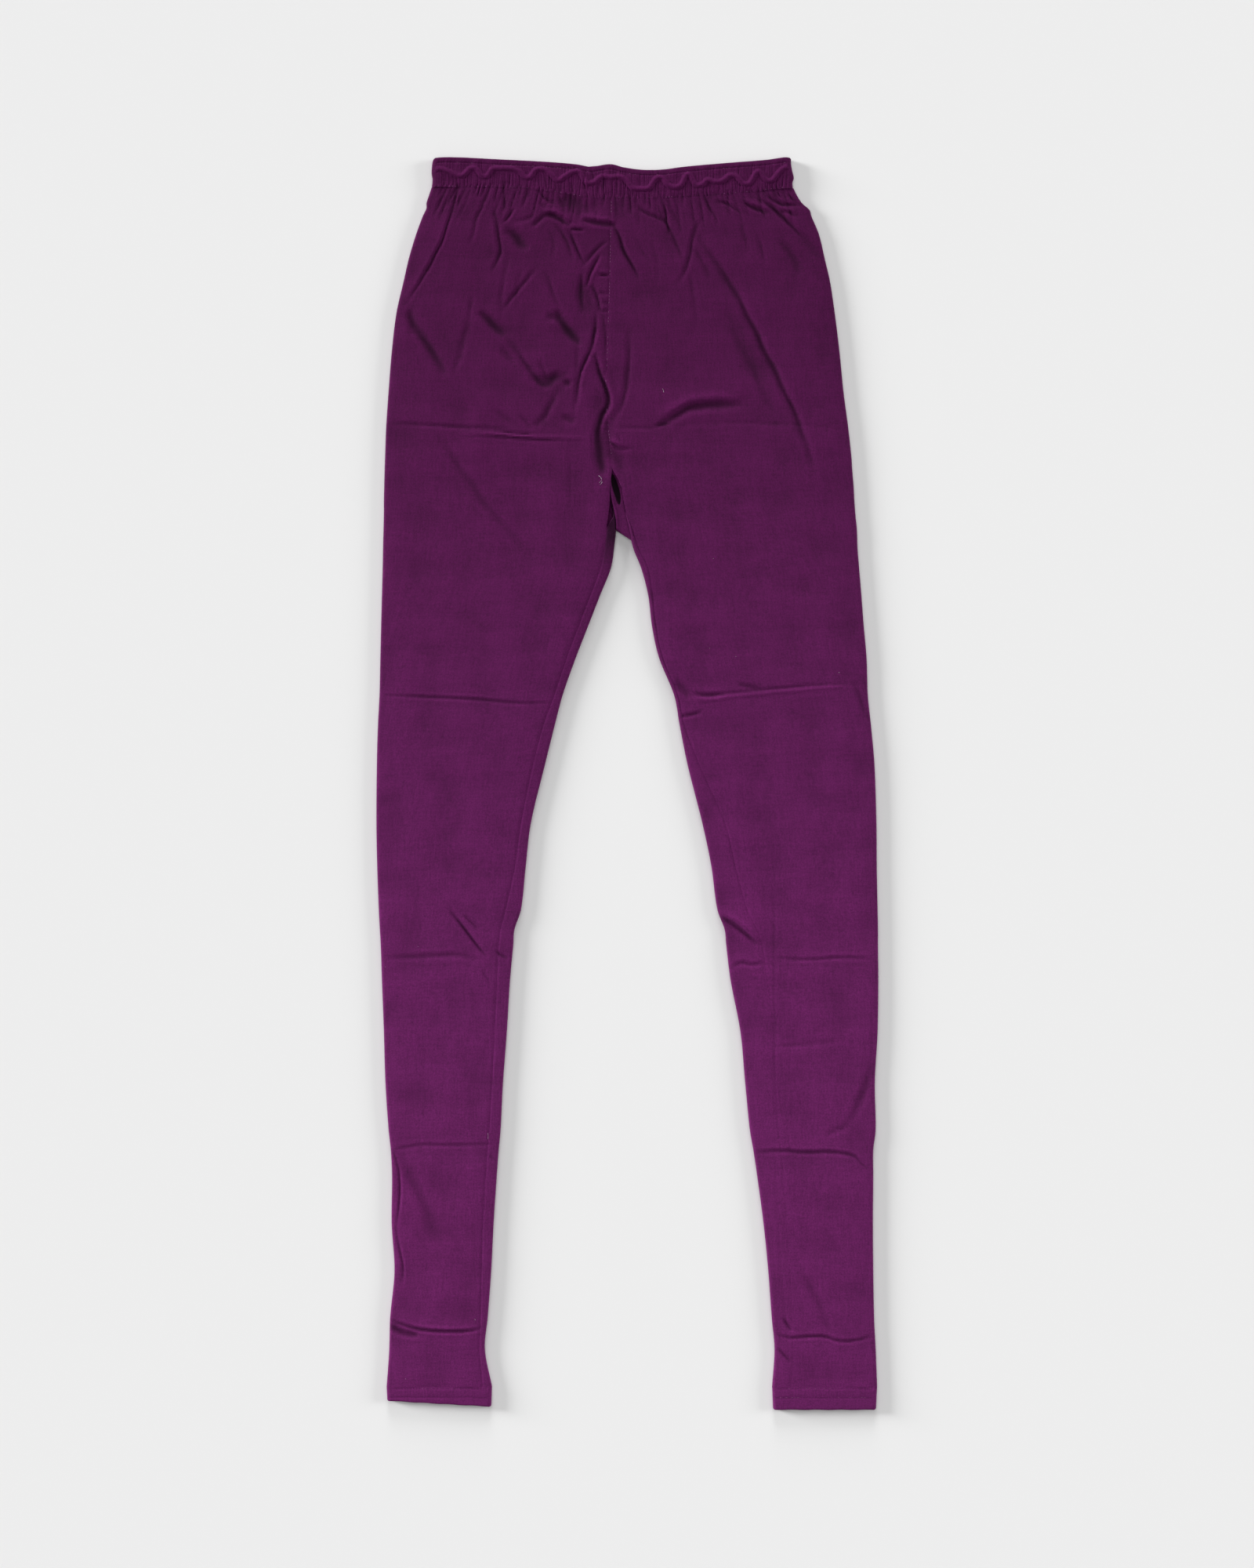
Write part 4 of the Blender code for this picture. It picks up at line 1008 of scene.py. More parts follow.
def casing_grid(leg, levels, columns, plain):
    """Points of half the casing: front, side fold and back, level by level."""
    centre, first = leg[0].seam, leg[0].outer
    inward = inward_of(leg)
    radius = CASING_THICKNESS / 2.0
    level = levels[:, None]
    wall = CASING_WALL if plain else 0.0
    side = first + 0.0 * level
    if not plain:
        side = curve(RIGHT_CASING_SIDE if leg is RIGHT_LEG else LEFT_CASING_SIDE, SIDE_DEPTH * level)
    width = np.abs(centre - side) - SEAM_GAP / 2.0

    def edges(x, back):
        top = curve(WAIST_TOP, x)
        if back:
            return top + BACK_EDGE_DROP, back_casing_edge(leg, x)
        return top, curve(WAIST_BOTTOM, x)

    def round_off(x, back):
        top, bottom = edges(x, back)
        away = np.clip(level * (bottom - top) / 1.8, 0.0, 1.0)
        return 1.0 - np.sqrt(np.clip(1.0 - (1.0 - away) ** 2, 0.0, 1.0))

    def place(across, height, turned):
        x = side + inward * across
        front_top, front_bottom = edges(x, False)
        back_top, back_bottom = edges(x, True)
        top = front_top * (1.0 - turned) + back_top * turned
        bottom = front_bottom * (1.0 - turned) + back_bottom * turned
        return join_points(x, top + (bottom - top) * level, height)

    share = np.linspace(0.0, 1.0, columns.front + 1)[None, :]
    across = width + (radius - width) * share
    x = side + inward * across
    if plain:
        height = CASING_THICKNESS - wall + 0.5 * round_off(x, False)
    else:
        top, bottom = edges(x, False)
        down = top + (bottom - top) * level
        away = across - radius
        form = casing_height(x, down, level)
        height = CASING_THICKNESS + (form - CASING_THICKNESS) * edge_fade(away * 2.0)
        height = height - 0.9 * round_off(x, False) + 0.6 * seam_dip(width - across)
    front = place(across, height, 0.0)

    angle = half_turn(columns.turn)
    reach = radius - wall - 0.5 * round_off(side, False) * (0.0 if plain else 1.0)
    arc_height = radius + reach * np.sin(angle)
    turn = place(radius + reach * np.cos(angle), arc_height, 1.0 - arc_height / CASING_THICKNESS)

    share = np.arange(1, columns.back + 1)[None, :] / columns.back
    across = radius + (width - radius) * share
    x = side + inward * across
    if plain:
        height = wall - 0.5 * round_off(x, True)
    else:
        grooves = 0.25 * (0.5 + 0.5 * np.sin(x * 2.0 * pi / 5.2)) ** 3
        height = grooves * np.clip(4.0 * level * (1.0 - level), 0.0, 1.0) + 0.3 * round_off(x, True)
    return np.concatenate([front, turn, place(across, height, 1.0)], axis=1)


def build_casing(name, leg, node, material):
    """Half of the waist casing, doubled over its elastic and cord."""
    face = casing_grid(leg, CASING_LEVELS, CASING_COLUMNS, False)
    plain = casing_grid(leg, CASING_PLAIN_LEVELS, CASING_PLAIN, True)
    face_lines = CASING_LEVELS, column_places(CASING_COLUMNS)
    plain_lines = CASING_PLAIN_LEVELS, column_places(CASING_PLAIN)
    piece, points = make_shell(name, face, plain, face_lines, plain_lines, material)
    # Painted shade darkens the casing's dips and painted light brightens its raised cord, from their
    # heights
    relief = np.clip(points[:, 2] - CASING_THICKNESS, -1.0, 1.0)
    relief[points[:, 2] < CASING_THICKNESS - 1.0] = 0.0
    return finish_cloth(piece, points * MM, relief, node)


def hem_form(leg, edge, share):
    """Side fold and inner fold of the hem, from its top to its edge."""
    outer, _, inner, _ = outline(leg, np.array([HEM_START]))
    blend = share ** 0.8
    return outer + (edge.outer - outer) * blend, inner + (edge.inner - inner) * blend


def hem_height(x, across_share, down):
    """Height of the hem's front: two stitch grooves and a slight swell."""
    height = HEM_THICKNESS + 0.4 * np.sin(pi * np.clip(across_share, 0.0, 1.0))
    height = height - 0.3 * np.exp(-((down - HEM_START) / 0.8) ** 2)
    for row in HEM_STITCHES:
        height = height - 0.3 * np.exp(-((down - row) / 0.7) ** 2)
    ripple = 0.5 + 0.5 * np.sin(x * 1.9 + 0.8 * np.sin(x * 0.37))
    between = (down - HEM_STITCHES[0]) / (HEM_STITCHES[1] - HEM_STITCHES[0])
    return height + 0.14 * ripple * np.exp(-((between - 0.5) / 0.5) ** 2)


def hem_grid(leg, edge, levels, count, plain):
    """Closed loops of the hem band, from its top to its edge."""
    level = levels[:, None]
    outer, inner = hem_form(leg, edge, level)
    inward = inward_of(leg)
    wall = HEM_WALL if plain else 0.0
    end = np.clip((level - HEM_CORNER) / (1.0 - HEM_CORNER), 0.0, 1.0)
    corner = 1.0 - np.sqrt(np.clip(1.0 - end ** 2, 0.0, 1.0))
    outer, inner = outer + inward * corner, inner - inward * corner
    width = np.abs(inner - outer)
    pinch = 0.0 if plain else 0.7 * corner
    radius = HEM_THICKNESS / 2.0
    flat = width - 2.0 * radius

    def place(across, height):
        x = outer + inward * across
        bottom = edge.down_outer + (edge.down_inner - edge.down_outer) * across / width
        ripple = 0.15 * np.sin(x * 0.31) * level
        return join_points(x, HEM_START + (bottom - HEM_START + ripple) * level, height)

    share = np.linspace(0.0, 1.0, count + 1)[None, :]
    across = width - radius - flat * share
    front = place(across, HEM_THICKNESS - wall)
    if not plain:
        front[..., 2] = hem_height(front[..., 0], share, front[..., 1]) - pinch
    reach = radius - wall
    angles = half_turn(HEM_TURN)
    side = place(radius + reach * np.cos(angles), radius + (reach - 0.5 * pinch) * np.sin(angles))
    share = np.arange(1, count // 3 + 1)[None, :] / (count // 3)
    back = place(radius + flat * share, wall + 0.0 * share + 0.3 * pinch)
    angles = half_turn(HEM_TURN, -90.0)[:, :-1]
    far = place(width - radius + reach * np.cos(angles), radius + (reach - 0.5 * pinch) * np.sin(angles))
    return np.concatenate([front, side, back, far], axis=1)


def hem_places(count):
    """Where each column of a hem lies round the band, from 0 to nearly 1."""
    values = [np.linspace(0.0, 0.4, count + 1)]
    for number, start, end in ((HEM_TURN, 0.4, 0.5), (count // 3, 0.5, 0.9), (HEM_TURN - 1, 0.9, 0.98)):
        values.append(start + (end - start) * np.arange(1, number + 1) / number)
    return np.concatenate(values)


def build_hem(name, leg, edge, node, material):
    """The turned-up, doubled band at one ankle."""
    face_levels = np.concatenate([np.linspace(0.0, HEM_CORNER, 16), np.linspace(0.895, 1.0, 7)])
    plain_levels = np.linspace(0.0, 1.0, 4)
    face = hem_grid(leg, edge, face_levels, HEM_COLUMNS, False)
    plain = hem_grid(leg, edge, plain_levels, HEM_PLAIN, True)
    face_lines = face_levels, hem_places(HEM_COLUMNS)
    plain_lines = plain_levels, hem_places(HEM_PLAIN)
    piece, points = make_shell(name, face, plain, face_lines, plain_lines, material, closed=True)
    return finish_cloth(piece, points * MM, np.zeros(len(points)), node)


def gusset_lines(plain):
    """Rows of the gusset: front ply, fold at the crotch's lower end, back ply."""
    cloth = CLOTH if plain else 0.0
    radius = GUSSET_THICKNESS / 2.0
    counts = GUSSET_PLAIN if plain else GUSSET_FACE
    share = np.linspace(0.0, 1.0, counts.columns)
    rows = []
    for down in np.linspace(GUSSET_FRONT[0].down, GUSSET_FRONT[-1].down, counts.front):
        left = float(curve([(row.down, row.left) for row in GUSSET_FRONT], down))
        right = float(curve([(row.down, row.right) for row in GUSSET_FRONT], down))
        x = left + (right - left) * share
        height = GUSSET_THICKNESS - cloth
        if not plain:
            height = height - gusset_pocket(x, down) + RIM_RISE * np.exp(-((x - left) / 0.7) ** 2)
        rows.append(join_points(x, down, height))
    for step in range(1, counts.fold):
        angle = pi / 2.0 - pi * step / counts.fold
        x = GUSSET_FOLD.left + (GUSSET_FOLD.right - GUSSET_FOLD.left) * share
        down = GUSSET_FOLD.down - radius + (radius - cloth) * cos(angle) + GUSSET_SLANT * share
        rows.append(join_points(x, down, radius + (radius - cloth) * sin(angle)))
    for row in GUSSET_BACK:
        x = row.left + (row.right - row.left) * share
        rows.append(join_points(x, row.down, cloth))
    return np.array(rows), share


def gusset_pocket(x, down):
    """The hollow where the seam gapes, pointed at both ends; its depth also masks the hollow's painted
    shade.
    """
    signed, along = measure_path(POCKET, x, np.full(x.shape, down))
    taper = np.sqrt(np.clip(4.0 * along * (1.0 - along), 0.0, 1.0))
    return 2.6 * taper * np.exp(-(signed / (0.4 + 1.8 * taper)) ** 4)


def build_gusset(material):
    """The small gusset at the crotch, with its hollow darkened by painted shade."""
    face, share = gusset_lines(False)
    plain, plain_share = gusset_lines(True)
    face_lines = np.linspace(0.0, 1.0, len(face)), share
    plain_lines = np.linspace(0.0, 1.0, len(plain)), plain_share
    piece, points = make_shell("gusset_jersey", face, plain, face_lines, plain_lines, material)
    # Painted shade in the hollow, and painted light on the raised rim
    pocket = np.array([float(gusset_pocket(np.array([p[0]]), p[1])[0]) for p in points])
    pocket[points[:, 2] < GUSSET_THICKNESS / 2.0 - 1.6] = 0.0
    rim = np.clip(points[:, 2] - GUSSET_THICKNESS, 0.0, 1.0)
    relief = rim - POCKET_SHADE * pocket
    return finish_cloth(piece, points * MM, relief, "crotch_gusset")


# Rings of a length of thread, as (place, size) shares, and the sides of each ring
THREAD_RINGS = ((0.0, 0.35), (0.18, 1.0), (0.82, 1.0), (1.0, 0.35))
THREAD_SIDES = 6


def make_threads(name, starts, ends, radius, material, arch):
    """Short lengths of thread, each a slim bar with tapered ends."""
    starts, ends = np.asarray(starts, float), np.asarray(ends, float)
    points, faces = [], []
    for start, end in zip(starts, ends):
        run = end - start
        length = np.linalg.norm(run)
        run = run / length
        across = np.cross(run, (0.0, 0.0, 1.0))
        across = across / max(np.linalg.norm(across), 1e-6)
        upward = np.cross(across, run)
        first = len(points)
        for share, size in THREAD_RINGS:
            lift = arch * 4.0 * share * (1.0 - share)
            middle = start + run * length * share + upward * lift
            for side in range(THREAD_SIDES):
                angle = 2.0 * pi * side / THREAD_SIDES
                points.append(middle + radius * size * (across * cos(angle) + upward * sin(angle)))
        last = first + (len(THREAD_RINGS) - 1) * THREAD_SIDES
        for ring in range(first, last, THREAD_SIDES):
            for side in range(THREAD_SIDES):
                a = ring + side
                b = ring + (side + 1) % THREAD_SIDES
                faces.append((a, b, b + THREAD_SIDES, a + THREAD_SIDES))
        faces.append(tuple(range(first, first + THREAD_SIDES)))
        faces.append(tuple(range(last, last + THREAD_SIDES)))
    return make_piece(name, points, faces, material), len(THREAD_RINGS) * THREAD_SIDES


def sew_along(line, pitch, length, height_at):
    """Starts and ends of stitches along a line of (x, down) points."""
    line = np.asarray(line, float)
    steps = np.hypot(*np.diff(line, axis=0).T)
    reached = np.concatenate([[0.0], np.cumsum(steps)])
    places = np.arange(0.6, reached[-1] - length, pitch)

    def at(place):
        x = np.interp(place, reached, line[:, 0])
        down = np.interp(place, reached, line[:, 1])
        return join_points(x, down, height_at(x, down))

    return at(places), at(places + length)


def set_fade(piece, count, per_stitch, seed, share):
    """Marks, at random, the stitches drawn in the paler thread colour."""
    draw = np.random.default_rng(seed)
    faded = (draw.random(count) < share) * draw.uniform(0.5, 1.0, count)
    add_values(piece, "fade", np.repeat(faded, per_stitch), "FLOAT")


# Stitches of each seam in millimetres, the seed that picks the paler ones, and how many are paler
Sewing = namedtuple("Sewing", "name pitch length radius seed faded slot")
CASING_SEWING = Sewing("casing_stitching", 2.3, 1.3, 0.14, 31, 0.25, "casing_jersey")
CENTRE_SEWING = Sewing("centre_front_stitching", 2.6, 1.3, 0.15, 32, 0.6, "jersey")
HEM_SEWING = Sewing("hem_stitching", 2.4, 1.4, 0.13, 33, 0.2, "hem_jersey")

# Start and end of the casing's rows of sewing on each half, across the garment
CASING_SEWN = ((-159.5, -15.0), (-12.5, 135.5))

# Start and end of the centre front's row down the garment, and its place beside the seam
CENTRE_SEWN = (36.0, 250.0)
BESIDE_SEAM = 0.7
SEW_STEP = 1.5

# Rows of hem stitching: start, end and height down the garment
HEM_ROWS = (
    (-197.0, -114.5, HEM_STITCHES[0]),
    (-128.5, -115.5, HEM_STITCHES[1]),
    (123.5, 204.5, HEM_STITCHES[0]),
    (123.5, 204.5, HEM_STITCHES[1]),
)

# Radius and paths of the pale fibres that cling to the front
LINT_RADIUS = 0.12
LINT = (
    ((-173.1, 653.0), (-172.7, 653.6)),
    ((-200.3, 670.0), (-199.8, 670.3)),
    ((-125.9, 961.6), (-125.5, 962.4)),
    ((-183.4, 1010.6), (-183.1, 1011.4)),
    ((29.5, 191.4), (30.1, 193.4), (30.3, 194.6)),
    ((68.2, 406.0), (68.5, 406.5)),
    ((89.8, 413.1), (90.3, 413.4)),
    ((175.3, 426.3), (175.8, 426.6)),
    ((71.2, 332.0), (71.7, 332.5)),
    ((-115.2, 807.4), (-115.0, 810.0), (-115.1, 812.6)),
    ((-23.4, 263.6), (-22.0, 264.6), (-20.9, 266.6), (-21.8, 268.6), (-23.1, 269.4)),
    ((-22.4, 271.0), (-21.2, 270.2), (-20.6, 268.8)),
)


def rest_on_front(x, down):
    """A point on the creased front at a place of the garment."""
    leg = RIGHT_LEG if x < outline(LEFT_LEG, np.array([down]))[1][0] else LEFT_LEG
    height = leg_front_height(leg, np.array([x]), np.array([down]))[0]
    return (x, down, height + LINT_RADIUS)


def centre_front_height(x, down):
    """Height of the centre front's sewing, sunk a little into the cloth."""
    return leg_front_height(LEFT_LEG, x + 1.0, down) - 0.25


def sew_lines(sewing, lines, height_at, material):
    """One piece of stitching along lines of (x, down) points."""
    rows = [sew_along(line, sewing.pitch, sewing.length, height_at) for line in lines]
    starts, ends = (np.concatenate(side) for side in zip(*rows))
    piece, per_stitch = make_threads(sewing.name, starts, ends, sewing.radius, material, 0.08)
    set_fade(piece, len(starts), per_stitch, sewing.seed, sewing.faded)


def socket(tree, name, kind, direction, default=None):
    """Adds a socket to a node group."""
    made = tree.interface.new_socket(name=name, in_out=direction, socket_type=kind)
    if default is not None:
        made.default_value = default


# Distance between the wales of the jersey, in metres
WALE_PITCH = 0.0009


class Nodes:
    """Adds and joins nodes of one tree."""

    def __init__(self, tree):
        self.tree = tree

    def add(self, kind, **settings):
        node = self.tree.nodes.new(kind)
        for name, value in settings.items():
            setattr(node, name, value)
        return node

    def join(self, start, end):
        self.tree.links.new(start, end)

    def feed(self, node, index, value):
        if hasattr(value, "is_output"):
            self.join(value, node.inputs[index])
        else:
            node.inputs[index].default_value = value

    def math(self, operation, first, second=0.0, third=0.0):
        node = self.add("ShaderNodeMath", operation=operation)
        for index, value in enumerate((first, second, third)):
            self.feed(node, index, value)
        return node.outputs[0]

    def noise(self, vector, scale, detail=2.0, roughness=0.5):
        node = self.add("ShaderNodeTexNoise")
        self.join(vector, node.inputs["Vector"])
        node.inputs["Scale"].default_value = scale
        node.inputs["Detail"].default_value = detail
        node.inputs["Roughness"].default_value = roughness
        return node.outputs["Fac"]

    def stretch(self, vector, scale):
        node = self.add("ShaderNodeVectorMath", operation="MULTIPLY")
        self.join(vector, node.inputs[0])
        node.inputs[1].default_value = scale
        return node.outputs[0]

    def blend(self, share, first, second):
        """Mixes two colours by a share that changes over the surface."""
        node = self.add("ShaderNodeMix", data_type="RGBA")
        self.join(share, node.inputs["Factor"])
        node.inputs["A"].default_value = (*first, 1.0)
        node.inputs["B"].default_value = (*second, 1.0)
        return node.outputs["Result"]

    def shade(self, colour, shade):
        """Lightens or darkens a colour."""
        node = self.add("ShaderNodeVectorMath", operation="SCALE")
        self.join(colour, node.inputs[0])
        self.join(shade, node.inputs["Scale"])
        return node.outputs[0]


def jersey_group():
    """Fine jersey: vertical wales, faint courses, streaks and mottled dye."""
    tree = bpy.data.node_groups.new("Fine jersey", "ShaderNodeTree")
    socket(tree, "Grain", "NodeSocketVector", "INPUT")
    socket(tree, "Wale Pitch", "NodeSocketFloat", "INPUT", WALE_PITCH)
    socket(tree, "Streaks", "NodeSocketFloat", "INPUT", 0.1)
    socket(tree, "Mottle", "NodeSocketFloat", "INPUT", 0.1)
    socket(tree, "Shade", "NodeSocketFloat", "OUTPUT")
    socket(tree, "Height", "NodeSocketFloat", "OUTPUT")
    nodes = Nodes(tree)
    start = nodes.add("NodeGroupInput")
    end = nodes.add("NodeGroupOutput")
    grain = start.outputs["Grain"]
    parts = nodes.add("ShaderNodeSeparateXYZ")
    nodes.join(grain, parts.inputs[0])
    wale_turn = nodes.math("DIVIDE", parts.outputs["X"], start.outputs["Wale Pitch"])
    wale = nodes.math("SINE", nodes.math("MULTIPLY", wale_turn, 2.0 * pi))
    slanted = nodes.math("ABSOLUTE", wale)
    course_turn = nodes.math("DIVIDE", parts.outputs["Y"], start.outputs["Wale Pitch"])
    course_turn = nodes.math("MULTIPLY_ADD", course_turn, 2.0 * pi * 1.3, slanted)
    course = nodes.math("SINE", course_turn)
    along = nodes.noise(nodes.stretch(grain, (760.0, 90.0, 90.0)), 1.0)
    across = nodes.noise(nodes.stretch(grain, (70.0, 640.0, 70.0)), 1.0)
    cloud = nodes.noise(grain, 30.0, detail=3.0)
    speck = nodes.noise(grain, 800.0, roughness=0.6)
    streaks = nodes.math("MULTIPLY_ADD", across, 0.8, along)
    streaks = nodes.math("SUBTRACT", streaks, 0.9)
    streaks = nodes.math("MULTIPLY", streaks, start.outputs["Streaks"])
    cloud = nodes.math("MULTIPLY", nodes.math("SUBTRACT", cloud, 0.5), start.outputs["Mottle"])
    speck = nodes.math("SUBTRACT", speck, 0.5)
    speck = nodes.math("MULTIPLY", speck, nodes.math("MULTIPLY", start.outputs["Streaks"], 2.4))
    shade = nodes.math("ADD", nodes.math("ADD", streaks, cloud), speck)
    wales = nodes.math("MULTIPLY", wale, 0.01)
    shade = nodes.math("ADD", nodes.math("ADD", shade, wales), 1.0)
    nodes.join(shade, end.inputs["Shade"])
    height = nodes.math("MULTIPLY_ADD", course, 0.35, nodes.math("MULTIPLY", wale, 0.6))
    height = nodes.math("MULTIPLY_ADD", speck, 6.0, height)
    nodes.join(height, end.inputs["Height"])
    return tree


def painted_crease_shade_group():
    """Painted shade that darkens the colour in the creases, and painted light that lightens it on raised
    cloth.
    """
    tree = bpy.data.node_groups.new("Painted crease shade", "ShaderNodeTree")
    socket(tree, "Relief", "NodeSocketFloat", "INPUT")
    socket(tree, "Deepen", "NodeSocketFloat", "INPUT", 0.3)
    socket(tree, "Lighten", "NodeSocketFloat", "INPUT", 0.2)
    socket(tree, "Shade", "NodeSocketFloat", "OUTPUT")
    nodes = Nodes(tree)
    start = nodes.add("NodeGroupInput")
    end = nodes.add("NodeGroupOutput")
    relief = start.outputs["Relief"]
    low = nodes.math("MULTIPLY", nodes.math("MINIMUM", relief, 0.0), start.outputs["Deepen"])
    high = nodes.math("MULTIPLY", nodes.math("MAXIMUM", relief, 0.0), start.outputs["Lighten"])
    total = nodes.math("ADD", nodes.math("ADD", low, high), 1.0)
    nodes.join(nodes.math("MAXIMUM", total, 0.08), end.inputs["Shade"])
    return tree


def place_group(nodes, group, **values):
    """Places a node group in a material, with its own values."""
    node = nodes.add("ShaderNodeGroup", node_tree=group)
    for name, value in values.items():
        nodes.feed(node, name.replace("_", " "), value)
    return node


def find_group(name, make):
    """The node group of that name, built once."""
    return bpy.data.node_groups.get(name) or make()


def jersey_material(name, upper, lower, deepen=0.36, lighten=0.16):
    """Cotton jersey, a little paler towards the ankles: the darker hips are painted shade of their gathers
    and creases.
    """
    material = bpy.data.materials.new(name)
    material.use_nodes = True
    nodes = Nodes(material.node_tree)
    shader = material.node_tree.nodes["Principled BSDF"]
    grain = nodes.add("ShaderNodeAttribute", attribute_name="grain")
    relief = nodes.add("ShaderNodeAttribute", attribute_name="relief")
    parts = nodes.add("ShaderNodeSeparateXYZ")
    nodes.join(grain.outputs["Vector"], parts.inputs[0])
    # Painted shade: the colour darkens towards the hips, for the shading of their gathers and creases
    fall = nodes.add("ShaderNodeMapRange", interpolation_type="SMOOTHERSTEP")
    nodes.join(parts.outputs["Y"], fall.inputs["Value"])
    fall.inputs["From Min"].default_value = -0.25
    fall.inputs["From Max"].default_value = 0.95
    dye = nodes.blend(fall.outputs["Result"], upper, lower)
    knit = place_group(
        nodes, find_group("Fine jersey", jersey_group),
        Grain=grain.outputs["Vector"], Wale_Pitch=WALE_PITCH, Streaks=0.4, Mottle=0.11,
    )
    # Painted shade in the creases and painted light on raised cloth, read from the relief
    painted_shade = place_group(
        nodes, find_group("Painted crease shade", painted_crease_shade_group),
        Relief=relief.outputs["Fac"], Deepen=deepen, Lighten=lighten,
    )
    shade = nodes.math("MULTIPLY", knit.outputs["Shade"], painted_shade.outputs["Shade"])
    nodes.join(nodes.shade(dye, shade), shader.inputs["Base Color"])
    bump = nodes.add("ShaderNodeBump")
    bump.inputs["Strength"].default_value = 0.3
    bump.inputs["Distance"].default_value = 0.00012
    nodes.join(knit.outputs["Height"], bump.inputs["Height"])
    nodes.join(bump.outputs[0], shader.inputs["Normal"])
    shader.inputs["Roughness"].default_value = 0.88
    shader.inputs["Specular IOR Level"].default_value = 0.12
    shader.inputs["Sheen Weight"].default_value = scene_cloth().sheen
    shader.inputs["Sheen Roughness"].default_value = 0.45
    shader.inputs["Sheen Tint"].default_value = (0.8, 0.22, 0.72, 1.0)
    return material


def thread_material(name, dyed, faded):
    """Sewing thread, dyed like the cloth except in the stitches drawn paler."""
    material = bpy.data.materials.new(name)
    material.use_nodes = True
    nodes = Nodes(material.node_tree)
    shader = material.node_tree.nodes["Principled BSDF"]
    fade = nodes.add("ShaderNodeAttribute", attribute_name="fade")
    place = nodes.add("ShaderNodeTexCoord")
    twist = nodes.noise(place.outputs["Object"], 2600.0, roughness=0.6)
    dye = nodes.blend(fade.outputs["Fac"], dyed, faded)
    shade = nodes.math("MULTIPLY_ADD", twist, 0.5, 0.75)
    nodes.join(nodes.shade(dye, shade), shader.inputs["Base Color"])
    shader.inputs["Roughness"].default_value = 0.7
    shader.inputs["Specular IOR Level"].default_value = 0.15
    return material


def find_material(name, make, *values):
    """The material of that name, built once."""
    return bpy.data.materials.get(name) or make(name, *values)


def plum_with_painted_hip_shade():
    """The plum of the hips, darkened as painted shade, and of the ankles."""
    cloth = scene_cloth()
    return tuple(cloth.plum), tuple(cloth.plum_lower)


class ChuridarCloth(PropertyGroup):
    """Relief, sheen and colours of the cloth and its thread; the darker hip colour is painted shade"""

    crease_depth: FloatProperty(
        name="Crease depth", description="Depth of the creases and gathers, in even proportion",
        default=1.35, min=0.0, max=1.5, subtype="FACTOR",
    )
    rib_depth: FloatProperty(
        name="Rib depth", description="Depth of the waist casing's ribs, 1 as sewn",
        default=1.0, min=0.0, max=1.5, subtype="FACTOR",
    )
    cord_relief: FloatProperty(
        name="Cord relief", description="How far the hidden cord raises the casing",
        default=0.0009, min=0.0, max=0.002, unit="LENGTH",
    )
    sheen: FloatProperty(
        name="Sheen", description="Soft light caught by the cotton's nap",
        default=0.12, min=0.0, max=1.0, subtype="FACTOR",
    )
    # Hip colour, darker than the ankles' by painted shade for the creased hips
    plum: FloatVectorProperty(
        name="Plum", description="Dye at the hips",
        default=(0.0545, 0.0019, 0.0393), min=0.0, max=1.0, subtype="COLOR",
    )
    plum_lower: FloatVectorProperty(
        name="Lower plum", description="Dye at the ankles, a little paler",
        default=(0.117, 0.0108, 0.092), min=0.0, max=1.0, subtype="COLOR",
    )
    thread: FloatVectorProperty(
        name="Thread", description="Dye of the sewing thread",
        default=(0.05, 0.004, 0.04), min=0.0, max=1.0, subtype="COLOR",
    )
    faded_thread: FloatVectorProperty(
        name="Faded thread", description="Thread that has lost its dye",
        default=(0.2, 0.075, 0.17), min=0.0, max=1.0, subtype="COLOR",
    )


class ChuridarStage(PropertyGroup):
    """Floor, glow and camera"""

    floor: FloatVectorProperty(
        name="Floor", description="Pale floor under the garment",
        default=(0.85, 0.85, 0.85), min=0.0, max=1.0, subtype="COLOR",
    )
    sky: FloatProperty(
        name="Studio glow", description="Even light from all round",
        default=0.21, min=0.0, max=4.0,
    )
    camera_height: FloatProperty(
        name="Camera height", description="Camera above the floor",
        default=3.069, min=0.5, max=10.0, unit="LENGTH",
    )
    lens: FloatProperty(
        name="Lens", description="Focal length in millimetres",
        default=85.0, min=20.0, max=300.0,
    )


class CHURIDAR_OT_legs(Operator):
    """Builds both leg panels, wrapped round with their creases and gathers"""

    bl_idname = "churidar.legs"
    bl_label = "Leg panels"

    def execute(self, context):
        jersey = find_material("plum_jersey", jersey_material, *plum_with_painted_hip_shade())
        right = build_leg("right_leg_jersey", RIGHT_LEG, "leg_panel_right", jersey)
        left = build_leg("left_leg_jersey", LEFT_LEG, "leg_panel_left", jersey)
        return {"FINISHED"}


class CHURIDAR_OT_casings(Operator):
    """Builds both halves of the waist casing, with ribs and the hidden cord"""

    bl_idname = "churidar.casings"
    bl_label = "Waist casing"

    def execute(self, context):
        # The casing's jersey paints deeper shade in its dips and less light on its cord
        jersey = find_material("casing_plum_jersey", jersey_material, *plum_with_painted_hip_shade(), 0.42, 0.12)
        right = build_casing("right_casing_jersey", RIGHT_LEG, "waist_casing_right", jersey)
        left = build_casing("left_casing_jersey", LEFT_LEG, "waist_casing_left", jersey)
        return {"FINISHED"}


class CHURIDAR_OT_gusset(Operator):
    """Builds the small gusset at the crotch, folded in two"""

    bl_idname = "churidar.gusset"
    bl_label = "Crotch gusset"

    def execute(self, context):
        jersey = find_material("plum_jersey", jersey_material, *plum_with_painted_hip_shade())
        gusset = build_gusset(jersey)
        return {"FINISHED"}


class CHURIDAR_OT_hems(Operator):
    """Builds the turned-up hem band at each ankle"""

    bl_idname = "churidar.hems"
    bl_label = "Hems"

    def execute(self, context):
        jersey = find_material("hem_plum_jersey", jersey_material, *plum_with_painted_hip_shade())
        right = build_hem("right_hem_jersey", RIGHT_LEG, RIGHT_HEM, "hem_right", jersey)
        left = build_hem("left_hem_jersey", LEFT_LEG, LEFT_HEM, "hem_left", jersey)
        return {"FINISHED"}


